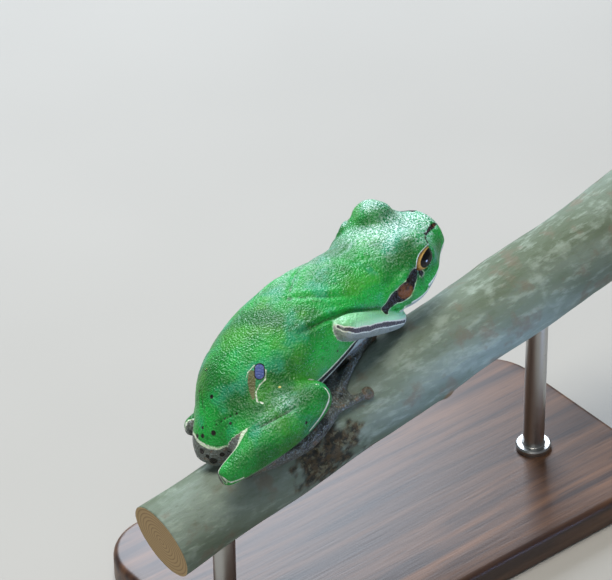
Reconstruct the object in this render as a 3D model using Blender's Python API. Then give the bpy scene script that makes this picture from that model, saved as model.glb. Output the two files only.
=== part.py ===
"""European tree frog, life size, sitting on a cut length of branch held by a flat base and two rods.

The frog is laid out in the branch's own frame, in millimetres: x runs along the branch towards the
frog's nose, y to the frog's left and z up from the branch's centre line. A single matrix then tips
that frame by the branch's slope and lifts it over the base. A real frog is bones and flesh under one
skin, so its parts here are closed solids that meet face to face with a thin gap.
"""

import math

import bmesh
import bpy
from mathutils import Matrix, Vector
from mathutils.bvhtree import BVHTree

MM = 0.001

# Branch and its place over the base
BRANCH_SLOPE = math.radians(11.4)
BRANCH_REAR = -23.0
BRANCH_FRONT = 60.0
BRANCH_RADIUS = 5.45
BRANCH_TAPER = 0.014
BRANCH_SWELL = 0.22
BRANCH_AXIS_OVER_FLOOR = 24.5
BRANCH_ORIGIN_X = -17.0
BRANCH_ORIGIN_Y = -3.0

# Display stand
BASE_LENGTH = 72.0
BASE_WIDTH = 38.0
BASE_THICKNESS = 4.0
BASE_CORNER = 8.0
ROD_RADIUS = 1.5
ROD_PLACES = {"rear": -13.0, "front": 42.0}

# Clearance that neighbouring solids keep
GAP = 0.3
GRIP = 0.34

# Frog
EYE_RADIUS = 2.1
EYE_SIDE = 4.6
EYE_BACK = 0.6
EYE_DROP = 0.25
EYE_OPENING = (2.05, 1.2, 1.6)
OPENING_OUT = 1.75
LID_RADIUS = 0.32
LID_SPREAD = (0.9, 0.8)
EAR_RADII = (1.05, 0.42, 1.15)
EAR_PLACE = (-5.1, -1.2)
EAR_SINK = 0.22
HEAD_ROLL = math.radians(8.0)
MID_EYE = Vector((25.4, 6.9, 15.5))
DIGIT_RADIUS = 0.55
DISC_RADIUS = 0.95
WEB_THICKNESS = 0.55


def to_world():
    """The branch frame's place in the world, in metres."""
    lift = Vector((BRANCH_ORIGIN_X, BRANCH_ORIGIN_Y, BRANCH_AXIS_OVER_FLOOR)) * MM
    return Matrix.Translation(lift) @ Matrix.Rotation(-BRANCH_SLOPE, 4, "Y") @ Matrix.Scale(MM, 4)


def clear_scene():
    for old in list(bpy.data.objects):
        bpy.data.objects.remove(old, do_unlink=True)


def material(name, colour, roughness, metallic=0.0):
    made = bpy.data.materials.new(name)
    made.use_nodes = True
    shader = made.node_tree.nodes["Principled BSDF"]
    shader.inputs["Base Color"].default_value = (*colour, 1.0)
    shader.inputs["Roughness"].default_value = roughness
    shader.inputs["Metallic"].default_value = metallic
    return made


def object_from(name, bm):
    """A linked object from a bmesh whose faces are turned outwards."""
    bmesh.ops.recalc_face_normals(bm, faces=bm.faces)
    mesh = bpy.data.meshes.new(name)
    bm.to_mesh(mesh)
    bm.free()
    made = bpy.data.objects.new(name, mesh)
    bpy.context.scene.collection.objects.link(made)
    return made


def catmull(values, t):
    """A smooth value between the entries of a list, at t in steps of one entry."""
    last = len(values) - 1
    i = min(int(t), last - 1)
    u = t - i
    a, b, c, d = (values[min(max(k, 0), last)] for k in (i - 1, i, i + 1, i + 2))
    bend = (2 * a - 5 * b + 4 * c - d) * u**2 + (3 * b - a - 3 * c + d) * u**3
    return 0.5 * (2 * b + (c - a) * u + bend)


def bridge_rings(bm, rings):
    """Joins rings of vertices into a closed tube with a point at each end."""
    for first, second in zip(rings, rings[1:]):
        count = len(first)
        for i in range(count):
            j = (i + 1) % count
            bm.faces.new((first[i], first[j], second[j], second[i]))
    for ring in (rings[0], rings[-1]):
        middle = bm.verts.new(sum((v.co for v in ring), Vector()) / len(ring))
        for i in range(len(ring)):
            bm.faces.new((ring[i], ring[(i + 1) % len(ring)], middle))


def rounded(value, squareness):
    """A cosine or sine pushed outwards, which turns a circle towards a square."""
    return math.copysign(abs(value) ** (2 / squareness), value)


def loft(name, stations, steps, sides=24, squareness=2.0):
    """A body through stations of (centre, half width, height up, height down, roll)."""
    bm = bmesh.new()
    rings = []
    last = len(stations) - 1
    centres = [Vector(s[0]) for s in stations]
    for n in range(last * steps + 1):
        t = n / steps
        width, up, down, roll = (catmull([s[k] for s in stations], t) for k in (1, 2, 3, 4))
        forward = (catmull(centres, min(t + 0.1, last)) - catmull(centres, max(t - 0.1, 0))).normalized()
        side = Matrix.Rotation(roll, 3, forward) @ Vector((0, 0, 1)).cross(forward).normalized()
        top = forward.cross(side)
        ring = []
        for i in range(sides):
            a = 2 * math.pi * i / sides
            across, rise = rounded(math.cos(a), squareness), rounded(math.sin(a), squareness)
            height = up if rise > 0 else down
            ring.append(bm.verts.new(catmull(centres, t) + side * (width * across) + top * (height * rise)))
        rings.append(ring)
    bridge_rings(bm, rings)
    return object_from(name, bm)


def tube(name, points, radii, sides=12, steps=4):
    """A rounded limb through points, each with its radius."""
    points = [Vector(p) for p in points]
    start = points[0] - (points[1] - points[0]).normalized() * radii[0] * 0.75
    end = points[-1] + (points[-1] - points[-2]).normalized() * radii[-1] * 0.75
    points = [start, *points, end]
    radii = [radii[0] * 0.35, *radii, radii[-1] * 0.35]
    bm = bmesh.new()
    rings = []
    last = len(points) - 1
    side = None
    for n in range(last * steps + 1):
        t = n / steps
        centre = catmull(points, t)
        radius = catmull(radii, t)
        forward = (catmull(points, min(t + 0.1, last)) - catmull(points, max(t - 0.1, 0))).normalized()
        side = forward.orthogonal() if side is None else side - forward * side.dot(forward)
        side.normalize()
        press = side.cross(forward)
        ring = []
        for i in range(sides):
            a = 2 * math.pi * i / sides
            ring.append(bm.verts.new(centre + (side * math.cos(a) + press * math.sin(a)) * radius))
        rings.append(ring)
    bridge_rings(bm, rings)
    return object_from(name, bm)


def ball(name, centre, radii, turn=None, segments=20, rings=12):
    """An ellipsoid, turned by a rotation matrix if one is given."""
    bm = bmesh.new()
    bmesh.ops.create_uvsphere(bm, u_segments=segments, v_segments=rings, radius=1.0)
    place = Matrix.Translation(Vector(centre)) @ (turn.to_4x4() if turn else Matrix.Identity(4))
    bmesh.ops.transform(bm, matrix=place @ Matrix.Diagonal((*radii, 1.0)), verts=bm.verts)
    return object_from(name, bm)


def branch_radius(x, angle):
    """The branch's radius at a place along it and round it, with low swellings like real bark."""
    swell = math.sin(0.21 * x + 0.8) * math.cos(angle * 2 + 0.09 * x) + 0.6 * math.sin(0.11 * x - angle)
    return BRANCH_RADIUS + BRANCH_TAPER * x + BRANCH_SWELL * swell


def on_branch(x, degrees, over):
    """A point over the bark. degrees are from the top, positive to the frog's left."""
    angle = math.radians(degrees)
    radius = branch_radius(x, angle) + over
    return Vector((x, radius * math.sin(angle), radius * math.cos(angle)))


def away_from_branch(point):
    return Vector((0.0, point[1], point[2])).normalized()


def press_onto_branch(target):
    """Moves every vertex that would touch the bark out to a thin gap over it."""
    for vertex in target.data.vertices:
        x, y, z = vertex.co
        reach = math.hypot(y, z)
        least = branch_radius(x, math.atan2(y, z)) + GRIP
        if 0.01 < reach < least:
            vertex.co = Vector((x, y * least / reach, z * least / reach))


def apply_modifiers(target):
    graph = bpy.context.evaluated_depsgraph_get()
    mesh = bpy.data.meshes.new_from_object(target.evaluated_get(graph))
    target.modifiers.clear()
    old = target.data
    target.data = mesh
    bpy.data.meshes.remove(old)


def keep_largest(target):
    """Drops every loose scrap and sealed hollow, so that one closed surface is left."""
    bm = bmesh.new()
    bm.from_mesh(target.data)
    unseen = set(bm.faces)
    islands = []
    while unseen:
        seed = unseen.pop()
        island = [seed]
        stack = [seed]
        while stack:
            face = stack.pop()
            for edge in face.edges:
                for near in edge.link_faces:
                    if near in unseen:
                        unseen.discard(near)
                        island.append(near)
                        stack.append(near)
        islands.append(island)
    islands.sort(key=lambda island: sum(face.calc_area() for face in island))
    for island in islands[:-1]:
        bmesh.ops.delete(bm, geom=island, context="FACES")
    loose = [vertex for vertex in bm.verts if not vertex.link_faces]
    bmesh.ops.delete(bm, geom=loose, context="VERTS")
    bm.to_mesh(target.data)
    bm.free()


def boolean(target, other, operation):
    modifier = target.modifiers.new("join", "BOOLEAN")
    modifier.operation = operation
    modifier.solver = "EXACT"
    modifier.object = other
    apply_modifiers(target)
    bpy.data.objects.remove(other, do_unlink=True)
    keep_largest(target)


def fuse(name, pieces, voxel, triangles, smooth=6):
    """One closed skin round overlapping pieces, smoothed and thinned to a number of triangles."""
    bm = bmesh.new()
    for piece in pieces:
        bm.from_mesh(piece.data)
        bpy.data.objects.remove(piece, do_unlink=True)
    joined = object_from(name, bm)
    remesh = joined.modifiers.new("skin", "REMESH")
    remesh.mode = "VOXEL"
    remesh.voxel_size = voxel
    relax = joined.modifiers.new("relax", "SMOOTH")
    relax.factor = 0.5
    relax.iterations = smooth
    apply_modifiers(joined)
    keep_largest(joined)
    press_onto_branch(joined)
    thin = joined.modifiers.new("thin", "DECIMATE")
    thin.ratio = min(1.0, triangles / max(1, 2 * len(joined.data.polygons)))
    apply_modifiers(joined)
    press_onto_branch(joined)
    return joined


def copy_of(source):
    """A second solid of the same shape."""
    made = source.copy()
    made.data = source.data.copy()
    bpy.context.scene.collection.objects.link(made)
    return made


def swollen(source, gap):
    """A copy of a solid, grown by a gap along its normals."""
    grown = copy_of(source)
    normals = [Vector(vertex.normal) for vertex in source.data.vertices]
    for vertex, normal in zip(grown.data.vertices, normals):
        vertex.co += normal * gap
    return grown


def clear_of(target, *others):
    """Cuts a solid back from its neighbours, so that they meet with a thin gap."""
    for other in others:
        boolean(target, swollen(other, GAP), "DIFFERENCE")


TRUNK = {
    "vent": ((-12.9, 1.3, 6.0), 1.7, 1.3, 1.3, 0.0),
    "rump": ((-11.5, 1.5, 7.5), 3.2, 2.7, 2.6, 0.0),
    "hips": ((-8.5, 2.0, 9.4), 4.7, 4.0, 3.8, 0.0),
    "sacrum": ((-4.0, 3.5, 11.2), 6.5, 5.4, 4.9, 0.0),
    "belly": ((2.0, 4.6, 12.2), 7.7, 6.1, 5.9, 0.0),
    "ribs": ((8.4, 5.4, 12.9), 7.4, 5.7, 5.9, 0.03),
    "shoulders": ((13.6, 5.8, 13.3), 6.2, 5.0, 5.3, 0.06),
    "neck": ((17.0, 5.9, 13.2), 6.0, 4.6, 5.1, 0.1),
    "throat": ((19.4, 6.1, 12.8), 6.4, 4.6, 4.4, HEAD_ROLL),
}

HEAD = {
    "nape": ((16.4, 5.9, 13.2), 5.9, 4.5, 4.9, 0.1),
    "jaws": ((19.6, 6.1, 12.8), 6.9, 4.9, 4.6, HEAD_ROLL),
    "ears": ((22.2, 6.25, 12.4), 7.15, 5.2, 3.7, HEAD_ROLL),
    "eyes": ((24.8, 6.5, 12.4), 6.35, 4.75, 3.1, HEAD_ROLL),
    "bridge": ((27.2, 6.8, 12.5), 5.15, 3.6, 2.8, HEAD_ROLL),
    "nostrils": ((29.2, 6.9, 12.6), 3.8, 3.0, 2.4, HEAD_ROLL),
    "lips": ((30.5, 6.9, 12.7), 2.95, 2.45, 1.9, HEAD_ROLL),
    "snout": ((31.2, 6.9, 12.7), 1.8, 1.4, 1.1, HEAD_ROLL),
}

# Forms that carry each brow into the skull: place forward, inwards and up from the eye, and radii
BROW_FORMS = (
    ((-0.2, 1.0, 0.3), (3.0, 2.6, 2.8)),
    ((-0.5, 2.6, -0.1), (3.3, 2.6, 2.1)),
    ((1.4, 1.0, -1.1), (2.4, 1.8, 1.6)),
)
HEAD_CORE = Vector((22.6, 6.7, 12.6))
MOUTH_DROP = 2.3
MOUTH_SAG = 0.35
MOUTH_REACH = math.radians(122)
MOUTH_DEPTH = 0.4
MOUTH_OPEN = 0.2
NOSTRIL_RADIUS = 0.36


def head_point(forward, left, up):
    """A point given from the middle between the eyes, along the head's own axes."""
    turned = Matrix.Rotation(HEAD_ROLL, 3, "X") @ Vector((0.0, left, up))
    return MID_EYE + Vector((forward, turned.y, turned.z))


def make_torso():
    trunk = loft("trunk", list(TRUNK.values()), 5)
    return fuse("torso", [trunk], 0.45, 1100)


def head_turned(forward, left, up):
    """A direction along the head's own axes."""
    return Matrix.Rotation(HEAD_ROLL, 3, "X") @ Vector((forward, left, up))


def outline_points(target, drop, reach, count):
    """Points where rays from the head's core, fanned round level, leave its surface."""
    tree = surface_tree(target)
    found = []
    for n in range(count):
        angle = -reach + 2 * reach * n / (count - 1)
        outward = head_turned(math.cos(angle), math.sin(angle), 0.0)
        sag = drop + MOUTH_SAG * abs(math.sin(angle)) ** 3
        start = HEAD_CORE + head_turned(0.0, 0.0, 1.0) * (MID_EYE.z - HEAD_CORE.z - sag - 0.9)
        hit = tree.ray_cast(start, outward)[0]
        if hit is not None:
            found.append((hit, outward))
    return found


def mouth_line(target):
    """A V-shaped groove round the muzzle from one corner of the jaws to the other."""
    up = head_turned(0.0, 0.0, 1.0)
    bm = bmesh.new()
    rings = []
    for point, outward in outline_points(target, MOUTH_DROP, MOUTH_REACH, 25):
        corners = (
            point - outward * MOUTH_DEPTH,
            point + outward * 0.4 - up * MOUTH_OPEN,
            point + outward * 0.4 + up * MOUTH_OPEN,
        )
        rings.append([bm.verts.new(corner) for corner in corners])
    bridge_rings(bm, rings)
    return object_from("mouth_groove", bm)


def surface_tree(target):
    """A tree for rays cast at an object's surface."""
    corners = [vertex.co for vertex in target.data.vertices]
    return BVHTree.FromPolygons(corners, [list(face.vertices) for face in target.data.polygons])


def nostril(target, side):
    """A small round hole where a ray from inside the muzzle leaves it."""
    start = head_point(1.5, 0.0, -1.4)
    aim = head_point(4.9, side * 2.0, -0.5) - start
    found = surface_tree(target).ray_cast(start, aim.normalized())[0]
    return ball("nostril_hole", found, (NOSTRIL_RADIUS,) * 3, None, 8, 6)


def eye_centre(side):
    return head_point(-EYE_BACK, side * EYE_SIDE, -EYE_DROP)


def eye_opening(side):
    """The form that bares the eye's outer face, between the lids."""
    middle = eye_centre(side) + head_turned(0.0, side * OPENING_OUT, 0.0)
    return ball("eye_opening", middle, EYE_OPENING, Matrix.Rotation(HEAD_ROLL, 3, "X"), 20, 12)


def lid_rim(side):
    """The rolled edge of the lids, a ring that stands a gap off the eye."""
    points = []
    reach = EYE_RADIUS + GAP + LID_RADIUS * 0.9
    for n in range(17):
        a = 2 * math.pi * n / 16
        along, rise = LID_SPREAD[0] * math.cos(a), LID_SPREAD[1] * math.sin(a)
        out = math.sqrt(1 - along * along - rise * rise)
        points.append(eye_centre(side) + head_turned(along, side * out, rise) * reach)
    return tube("lid_rim", points, [LID_RADIUS] * len(points), sides=8, steps=2)


def ear(skull, side):
    """The eardrum, a low disc on the side of the skull."""
    start = head_point(EAR_PLACE[0], 0.0, EAR_PLACE[1])
    outward = head_turned(0.0, side, 0.0)
    found = surface_tree(skull).ray_cast(start, outward)[0]
    return ball("ear", found - outward * EAR_SINK, EAR_RADII, Matrix.Rotation(HEAD_ROLL, 3, "X"), 16, 10)


def make_head():
    """The head without its mouth, nostrils and eye openings."""
    skull = loft("skull", list(HEAD.values()), 5, squareness=2.15)
    pieces = [skull]
    turn = Matrix.Rotation(HEAD_ROLL, 3, "X")
    for side in (1, -1):
        pieces += [lid_rim(side), ear(skull, side)]
        for (forward, inward, up), radii in BROW_FORMS:
            place = eye_centre(side) + head_turned(forward, -side * inward, up)
            pieces.append(ball("brow", place, radii, turn))
    return fuse("head", pieces, 0.25, 1700, smooth=3)


def carve_head(head, eyes):
    """Cuts the mouth, nostrils and eye openings, and the hollows that hold the eyes."""
    cutters = [mouth_line(head)]
    for side in (1, -1):
        cutters += [nostril(head, side), eye_opening(side)]
    for cutter in cutters:
        boolean(head, cutter, "DIFFERENCE")
    clear_of(head, *eyes)


def make_eyes():
    eyes = []
    for side, name in ((1, "eye_left"), (-1, "eye_right")):
        eyes.append(ball(name, eye_centre(side), (EYE_RADIUS,) * 3, None, 20, 12))
    return eyes


def limb(name, joints, triangles):
    points = [joint[0] for joint in joints]
    radii = [joint[1] for joint in joints]
    return fuse(name, [tube(name + "_form", points, radii)], 0.3, triangles)


def digit(base, tip, lift):
    """A finger or toe that runs from a palm to its disc over the bark, both as (along, degrees)."""
    points = []
    radii = []
    for n in range(6):
        t = n / 5
        x = base[0] + (tip[0] - base[0]) * t
        degrees = base[1] + (tip[1] - base[1]) * t
        points.append(on_branch(x, degrees, DIGIT_RADIUS + GRIP + lift * math.sin(math.pi * t)))
        radii.append(DIGIT_RADIUS * (1.15 - 0.3 * t))
    return tube("digit", points, radii, sides=8, steps=2)


def disc(tip):
    """The round pad at a digit's end, pressed flat on the bark."""
    centre = on_branch(tip[0], tip[1], GRIP + 0.4)
    outward = away_from_branch(centre)
    turn = outward.to_track_quat("Z", "Y").to_matrix()
    return ball("disc", centre, (DISC_RADIUS, DISC_RADIUS, 0.5), turn, 12, 8)


def web(base, first, second, reach):
    """A thin skin between two toes, from their base out to a curved edge."""
    bm = bmesh.new()
    layers = []
    across, along = 5, 5
    for over in (GRIP + 0.25, GRIP + 0.25 + WEB_THICKNESS):
        grid = []
        for i in range(along):
            row = []
            for j in range(across):
                u = j / (across - 1)
                edge = reach * (1 - 0.35 * math.sin(math.pi * u))
                t = 0.08 + (edge - 0.08) * i / (along - 1)
                end_x = first[0] + (second[0] - first[0]) * u
                end_a = first[1] + (second[1] - first[1]) * u
                x = base[0] + (end_x - base[0]) * t
                a = base[1] + (end_a - base[1]) * t
                row.append(bm.verts.new(on_branch(x, a, over)))
            grid.append(row)
        layers.append(grid)
    low, high = layers
    for i in range(along - 1):
        for j in range(across - 1):
            bm.faces.new((low[i][j], low[i + 1][j], low[i + 1][j + 1], low[i][j + 1]))
            bm.faces.new((high[i][j], high[i][j + 1], high[i + 1][j + 1], high[i + 1][j]))
    rim = [(i, 0) for i in range(along)] + [(along - 1, j) for j in range(1, across)]
    rim += [(i, across - 1) for i in range(along - 2, -1, -1)] + [(0, j) for j in range(across - 2, 0, -1)]
    for (i, j), (k, m) in zip(rim, rim[1:] + rim[:1]):
        bm.faces.new((low[i][j], low[k][m], high[k][m], high[i][j]))
    return object_from("web", bm)


def grasp(name, arm, base, tips, webbed, triangles):
    """A hand or foot: its wrist or ankle tube, palm, digits with discs, and webs if it has them."""
    palm = on_branch(base[0], base[1], 1.0)
    points = [joint[0] for joint in arm] + [palm]
    radii = [joint[1] for joint in arm] + [1.25]
    pieces = [tube(name + "_root", points, radii, sides=12)]
    for tip in tips:
        pieces.append(digit(base, tip, 0.15))
        pieces.append(disc(tip))
    if webbed:
        for first, second in zip(tips, tips[1:]):
            pieces.append(web(base, first, second, 0.72))
    return fuse(name, pieces, 0.22, triangles, smooth=3)


ARM_RIGHT = {
    "shoulder": Vector((15.8, 2.2, 10.2)),
    "elbow": Vector((9.3, -1.9, 15.3)),
    "wrist": Vector((19.2, 1.4, 8.0)),
}
ARM_LEFT = {
    "shoulder": Vector((14.6, 11.2, 12.0)),
    "elbow": Vector((8.6, 14.4, 8.6)),
    "wrist": Vector((9.6, 8.4, 2.2)),
}
LEG_RIGHT = {
    "hip": Vector((-9.4, 0.5, 10.4)),
    "knee": Vector((1.0, -5.2, 11.6)),
    "heel": Vector((-14.0, -5.4, 9.2)),
    "ankle": Vector((-3.0, -5.2, 5.8)),
}
LEG_LEFT = {
    "hip": Vector((-9.2, 4.6, 9.0)),
    "knee": Vector((2.0, 10.6, 7.2)),
    "heel": Vector((-10.1, 8.6, 5.3)),
    "ankle": Vector((-5.0, 7.6, 3.0)),
}
# The left leg lies closer under the body
GIRTH_LEFT = 0.88
FINGERS_RIGHT = ((17.2, 74), (19.8, 92), (22.6, 94), (24.6, 84))
FINGERS_LEFT = ((14.2, 80), (16.8, 98), (16.6, 119), (12.6, 136))
TOES_RIGHT = ((5.4, 44), (8.6, 56), (12.2, 52), (16.0, 31), (9.4, -37.5))
TOES_LEFT = ((0.6, 48), (3.8, 56), (6.6, 68), (8.6, 86), (4.0, 110))


def make_arm(side, joints, palm, fingers):
    shoulder, elbow, wrist = (joints[k] for k in ("shoulder", "elbow", "wrist"))
    upper = limb("upper_arm_" + side, ((shoulder, 1.8), (shoulder.lerp(elbow, 0.5), 1.7), (elbow, 1.2)), 260)
    fore = limb("forearm_" + side, ((elbow, 1.55), (elbow.lerp(wrist, 0.4), 1.85), (wrist, 1.45)), 300)
    hand = grasp("hand_" + side, ((wrist, 1.2),), palm, fingers, False, 700)
    return upper, fore, hand


def make_leg(side, joints, girth, sole, toes):
    hip, knee, heel, ankle = (joints[k] for k in ("hip", "knee", "heel", "ankle"))
    flesh = ((hip, 2.5 * girth), (hip.lerp(knee, 0.45), 3.2 * girth), (knee, 2.2 * girth))
    thigh = limb("thigh_" + side, flesh, 380)
    flesh = ((knee, 2.3 * girth), (knee.lerp(heel, 0.4), 2.7 * girth), (heel, 1.55 * girth))
    shank = limb("shank_" + side, flesh, 380)
    foot = grasp("foot_" + side, ((heel, 1.2), (ankle, 1.3)), sole, toes, True, 1000)
    return thigh, shank, foot


def make_frog():
    torso = make_torso()
    head = make_head()
    eyes = make_eyes()
    parts = [torso, head, *eyes]
    # The limbs are cut back from whole, smooth copies, which grow by a gap without folding over
    trunk_form, head_form = copy_of(torso), copy_of(head)
    carve_head(head, eyes)
    clear_of(torso, head_form)
    for side, arm, leg, girth, palm, sole, fingers, toes in (
        ("right", ARM_RIGHT, LEG_RIGHT, 1.0, (19.8, 30), (3.2, -32), FINGERS_RIGHT, TOES_RIGHT),
        ("left", ARM_LEFT, LEG_LEFT, GIRTH_LEFT, (10.6, 96), (-2.4, 82), FINGERS_LEFT, TOES_LEFT),
    ):
        upper, fore, hand = make_arm(side, arm, palm, fingers)
        clear_of(fore, trunk_form, head_form)
        clear_of(upper, head_form, fore)
        clear_of(torso, upper)
        clear_of(hand, fore, upper, trunk_form)
        thigh, shank, foot = make_leg(side, leg, girth, sole, toes)
        clear_of(shank, trunk_form)
        clear_of(thigh, trunk_form, shank)
        clear_of(foot, shank, thigh, trunk_form)
        parts += [upper, fore, hand, thigh, shank, foot]
    by_name = {part.name: part for part in parts}
    clear_of(by_name["foot_right"], by_name["forearm_right"], by_name["hand_right"])
    clear_of(by_name["foot_left"], by_name["foot_right"], by_name["forearm_left"])
    clear_of(by_name["hand_left"], by_name["hand_right"], by_name["foot_right"], by_name["foot_left"])
    for form in (trunk_form, head_form):
        bpy.data.objects.remove(form, do_unlink=True)
    return parts


def make_branch():
    bm = bmesh.new()
    rings = []
    steps = 42
    sides = 20
    for n in range(steps + 1):
        x = BRANCH_REAR + (BRANCH_FRONT - BRANCH_REAR) * n / steps
        ring = []
        for i in range(sides):
            angle = 2 * math.pi * i / sides
            radius = branch_radius(x, angle)
            ring.append(bm.verts.new((x, radius * math.sin(angle), radius * math.cos(angle))))
        rings.append(ring)
    bridge_rings(bm, rings)
    return object_from("perch_branch", bm)


def make_base():
    bm = bmesh.new()
    corners = []
    for cx, cy, start in ((1, 1, 0), (-1, 1, 90), (-1, -1, 180), (1, -1, 270)):
        for n in range(7):
            a = math.radians(start + 15 * n)
            x = cx * (BASE_LENGTH / 2 - BASE_CORNER) + BASE_CORNER * math.cos(a)
            y = cy * (BASE_WIDTH / 2 - BASE_CORNER) + BASE_CORNER * math.sin(a)
            corners.append(bm.verts.new((x * MM, y * MM, 0.0)))
    floor = bm.faces.new(corners)
    grown = bmesh.ops.extrude_face_region(bm, geom=[floor])
    lifted = [item for item in grown["geom"] if isinstance(item, bmesh.types.BMVert)]
    bmesh.ops.translate(bm, verts=lifted, vec=(0, 0, BASE_THICKNESS * MM))
    return object_from("stand_base", bm)


def make_rod(name, place, frame):
    """A rod from the base's top up to just under the branch."""
    under = frame @ Vector((place, 0, 0))
    low = BASE_THICKNESS * MM + GAP * MM
    bm = bmesh.new()
    made = bmesh.ops.create_cone(
        bm, cap_ends=True, segments=16, radius1=ROD_RADIUS * MM, radius2=ROD_RADIUS * MM, depth=1.0
    )
    for vertex in made["verts"]:
        if vertex.co.z < 0:
            vertex.co = Vector((under.x + vertex.co.x, under.y + vertex.co.y, low))
        else:
            x = place + vertex.co.x / MM / math.cos(BRANCH_SLOPE)
            y = vertex.co.y / MM
            reach = branch_radius(x, math.pi - math.asin(y / BRANCH_RADIUS)) + GAP
            drop = math.sqrt(reach * reach - y * y)
            vertex.co = frame @ Vector((x, y, -drop))
    return object_from(name, bm)


def finish(parts, surface, frame):
    for part in parts:
        if frame is not None:
            part.data.transform(frame)
        part.data.materials.clear()
        part.data.materials.append(surface)
        part.data.shade_smooth()


def main():
    clear_scene()
    frame = to_world()
    skin = material("green_skin", (0.09, 0.42, 0.08), 0.4)
    glossy = material("golden_eye", (0.35, 0.2, 0.04), 0.08)
    bark = material("grey_bark", (0.2, 0.2, 0.14), 0.85)
    wood = material("dark_wood", (0.09, 0.05, 0.03), 0.45)
    steel = material("brushed_steel", (0.55, 0.55, 0.55), 0.3, 1.0)
    frog = make_frog()
    finish([part for part in frog if not part.name.startswith("eye")], skin, frame)
    finish([part for part in frog if part.name.startswith("eye")], glossy, frame)
    finish([make_branch()], bark, frame)
    finish([make_base()], wood, None)
    rods = [make_rod("stand_rod_" + name, place, frame) for name, place in ROD_PLACES.items()]
    finish(rods, steel, None)


main()
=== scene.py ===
"""European tree frog, life size, on a cut length of branch over a plain display stand.

The frog and its perch are laid out in the branch's own frame, in millimetres: x runs along the branch
towards the nose, y to the frog's left and z up from the branch's centre line.
"""

import logging
import math
from contextlib import contextmanager
from dataclasses import dataclass, field
from enum import Enum
from typing import Iterator, NamedTuple, Optional, Sequence

import bmesh
import bpy
import numpy as np
from mathutils import Matrix, Vector, noise


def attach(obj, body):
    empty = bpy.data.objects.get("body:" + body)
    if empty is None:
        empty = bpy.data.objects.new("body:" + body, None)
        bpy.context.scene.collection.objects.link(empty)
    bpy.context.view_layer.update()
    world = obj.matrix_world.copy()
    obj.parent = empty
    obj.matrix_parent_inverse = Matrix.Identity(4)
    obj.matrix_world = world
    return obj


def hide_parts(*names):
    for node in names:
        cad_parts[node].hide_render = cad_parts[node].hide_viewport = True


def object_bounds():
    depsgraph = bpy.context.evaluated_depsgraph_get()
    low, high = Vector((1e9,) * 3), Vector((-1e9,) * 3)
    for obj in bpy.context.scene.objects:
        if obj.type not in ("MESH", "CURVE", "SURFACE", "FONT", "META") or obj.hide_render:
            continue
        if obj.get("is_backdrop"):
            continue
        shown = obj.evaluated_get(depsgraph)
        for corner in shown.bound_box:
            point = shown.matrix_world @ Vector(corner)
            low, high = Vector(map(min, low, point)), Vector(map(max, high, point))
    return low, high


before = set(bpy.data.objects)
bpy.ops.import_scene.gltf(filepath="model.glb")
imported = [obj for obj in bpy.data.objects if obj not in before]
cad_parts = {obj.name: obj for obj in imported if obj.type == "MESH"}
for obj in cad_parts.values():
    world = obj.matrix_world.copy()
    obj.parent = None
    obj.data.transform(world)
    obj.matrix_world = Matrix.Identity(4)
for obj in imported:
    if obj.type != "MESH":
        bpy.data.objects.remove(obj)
CAD_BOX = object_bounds()

LOG = logging.getLogger("frog")
MM = 0.001
BODY = "root"
Point = tuple[float, float, float]
Array = np.ndarray


# Numbers and small geometry


class Side(Enum):
    """The frog's own left and right, as signs along y."""

    LEFT = 1
    RIGHT = -1

    @property
    def word(self) -> str:
        """The side's name in a node."""
        return self.name.lower()


def catmull(rows: Array, places: Array) -> Array:
    """Reads smooth values between the rows of a table.

    Args:
        rows: One row for each station.
        places: Where to read, counted in rows.

    Returns:
        One row of values for each place.
    """
    last = len(rows) - 1
    i = np.minimum(places.astype(int), last - 1)
    u = (places - i)[:, None]
    a, b, c, d = (rows[np.clip(i + k, 0, last)] for k in (-1, 0, 1, 2))
    return 0.5 * (2 * b + (c - a) * u + (2 * a - 5 * b + 4 * c - d) * u**2 + (3 * b - a - 3 * c + d) * u**3)


def smoothstep(low: float, high: float, values: Array) -> Array:
    """An S-shaped rise from 0 at low to 1 at high."""
    t = np.clip((values - low) / (high - low), 0, 1)
    return t * t * (3 - 2 * t)


def unit(vectors: Array) -> Array:
    """Vectors scaled to length 1."""
    return vectors / np.maximum(np.linalg.norm(vectors, axis=-1, keepdims=True), 1e-9)


def to_polyline(points: Array, line: Sequence[Point]) -> tuple[Array, Array]:
    """Measures points against a line of straight stretches.

    Args:
        points: The places to measure.
        line: The line's own points.

    Returns:
        The distance of each place, and how far along the line its foot lies, from 0 to 1.
    """
    corners = np.array(line, float)
    steps = np.linalg.norm(np.diff(corners, axis=0), axis=1)
    start = np.concatenate([[0.0], np.cumsum(steps)])
    best = np.full(len(points), 1e9)
    along = np.zeros(len(points))
    for n, step in enumerate(steps):
        way = corners[n + 1] - corners[n]
        t = np.clip((points - corners[n]) @ way / (step * step), 0, 1)
        away = np.linalg.norm(points - corners[n] - t[:, None] * way, axis=1)
        nearer = away < best
        best[nearer] = away[nearer]
        along[nearer] = (start[n] + t[nearer] * step) / start[-1]
    return best, along


def grain(points: Array, size: float, seed: float) -> Array:
    """Smooth noise from -1 to 1.

    Args:
        points: Where to read it, in millimetres.
        size: The width of its swells, in millimetres.
        seed: A shift that gives a pattern of its own.

    Returns:
        One value for each point.
    """
    return np.array([noise.noise(Vector(p) / size + Vector((seed, seed, seed))) for p in points])


def bell(values: Array, width: float, middle: float = 0.0) -> Array:
    """A smooth hump of height 1 at the middle, which has sunk to about a third a width away."""
    return np.exp(-(((values - middle) / width) ** 2))


def away_from(place: Sequence[float], points: Array) -> Array:
    """How far points lie from one place."""
    return np.linalg.norm(points - np.array(place), axis=1)


def snap(place: Sequence[float], points: Array) -> Array:
    """The one of the points that lies nearest to a place, so that a mark sits on the skin."""
    return points[((points - np.array(place)) ** 2).sum(axis=1).argmin()]


# Mesh code


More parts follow.
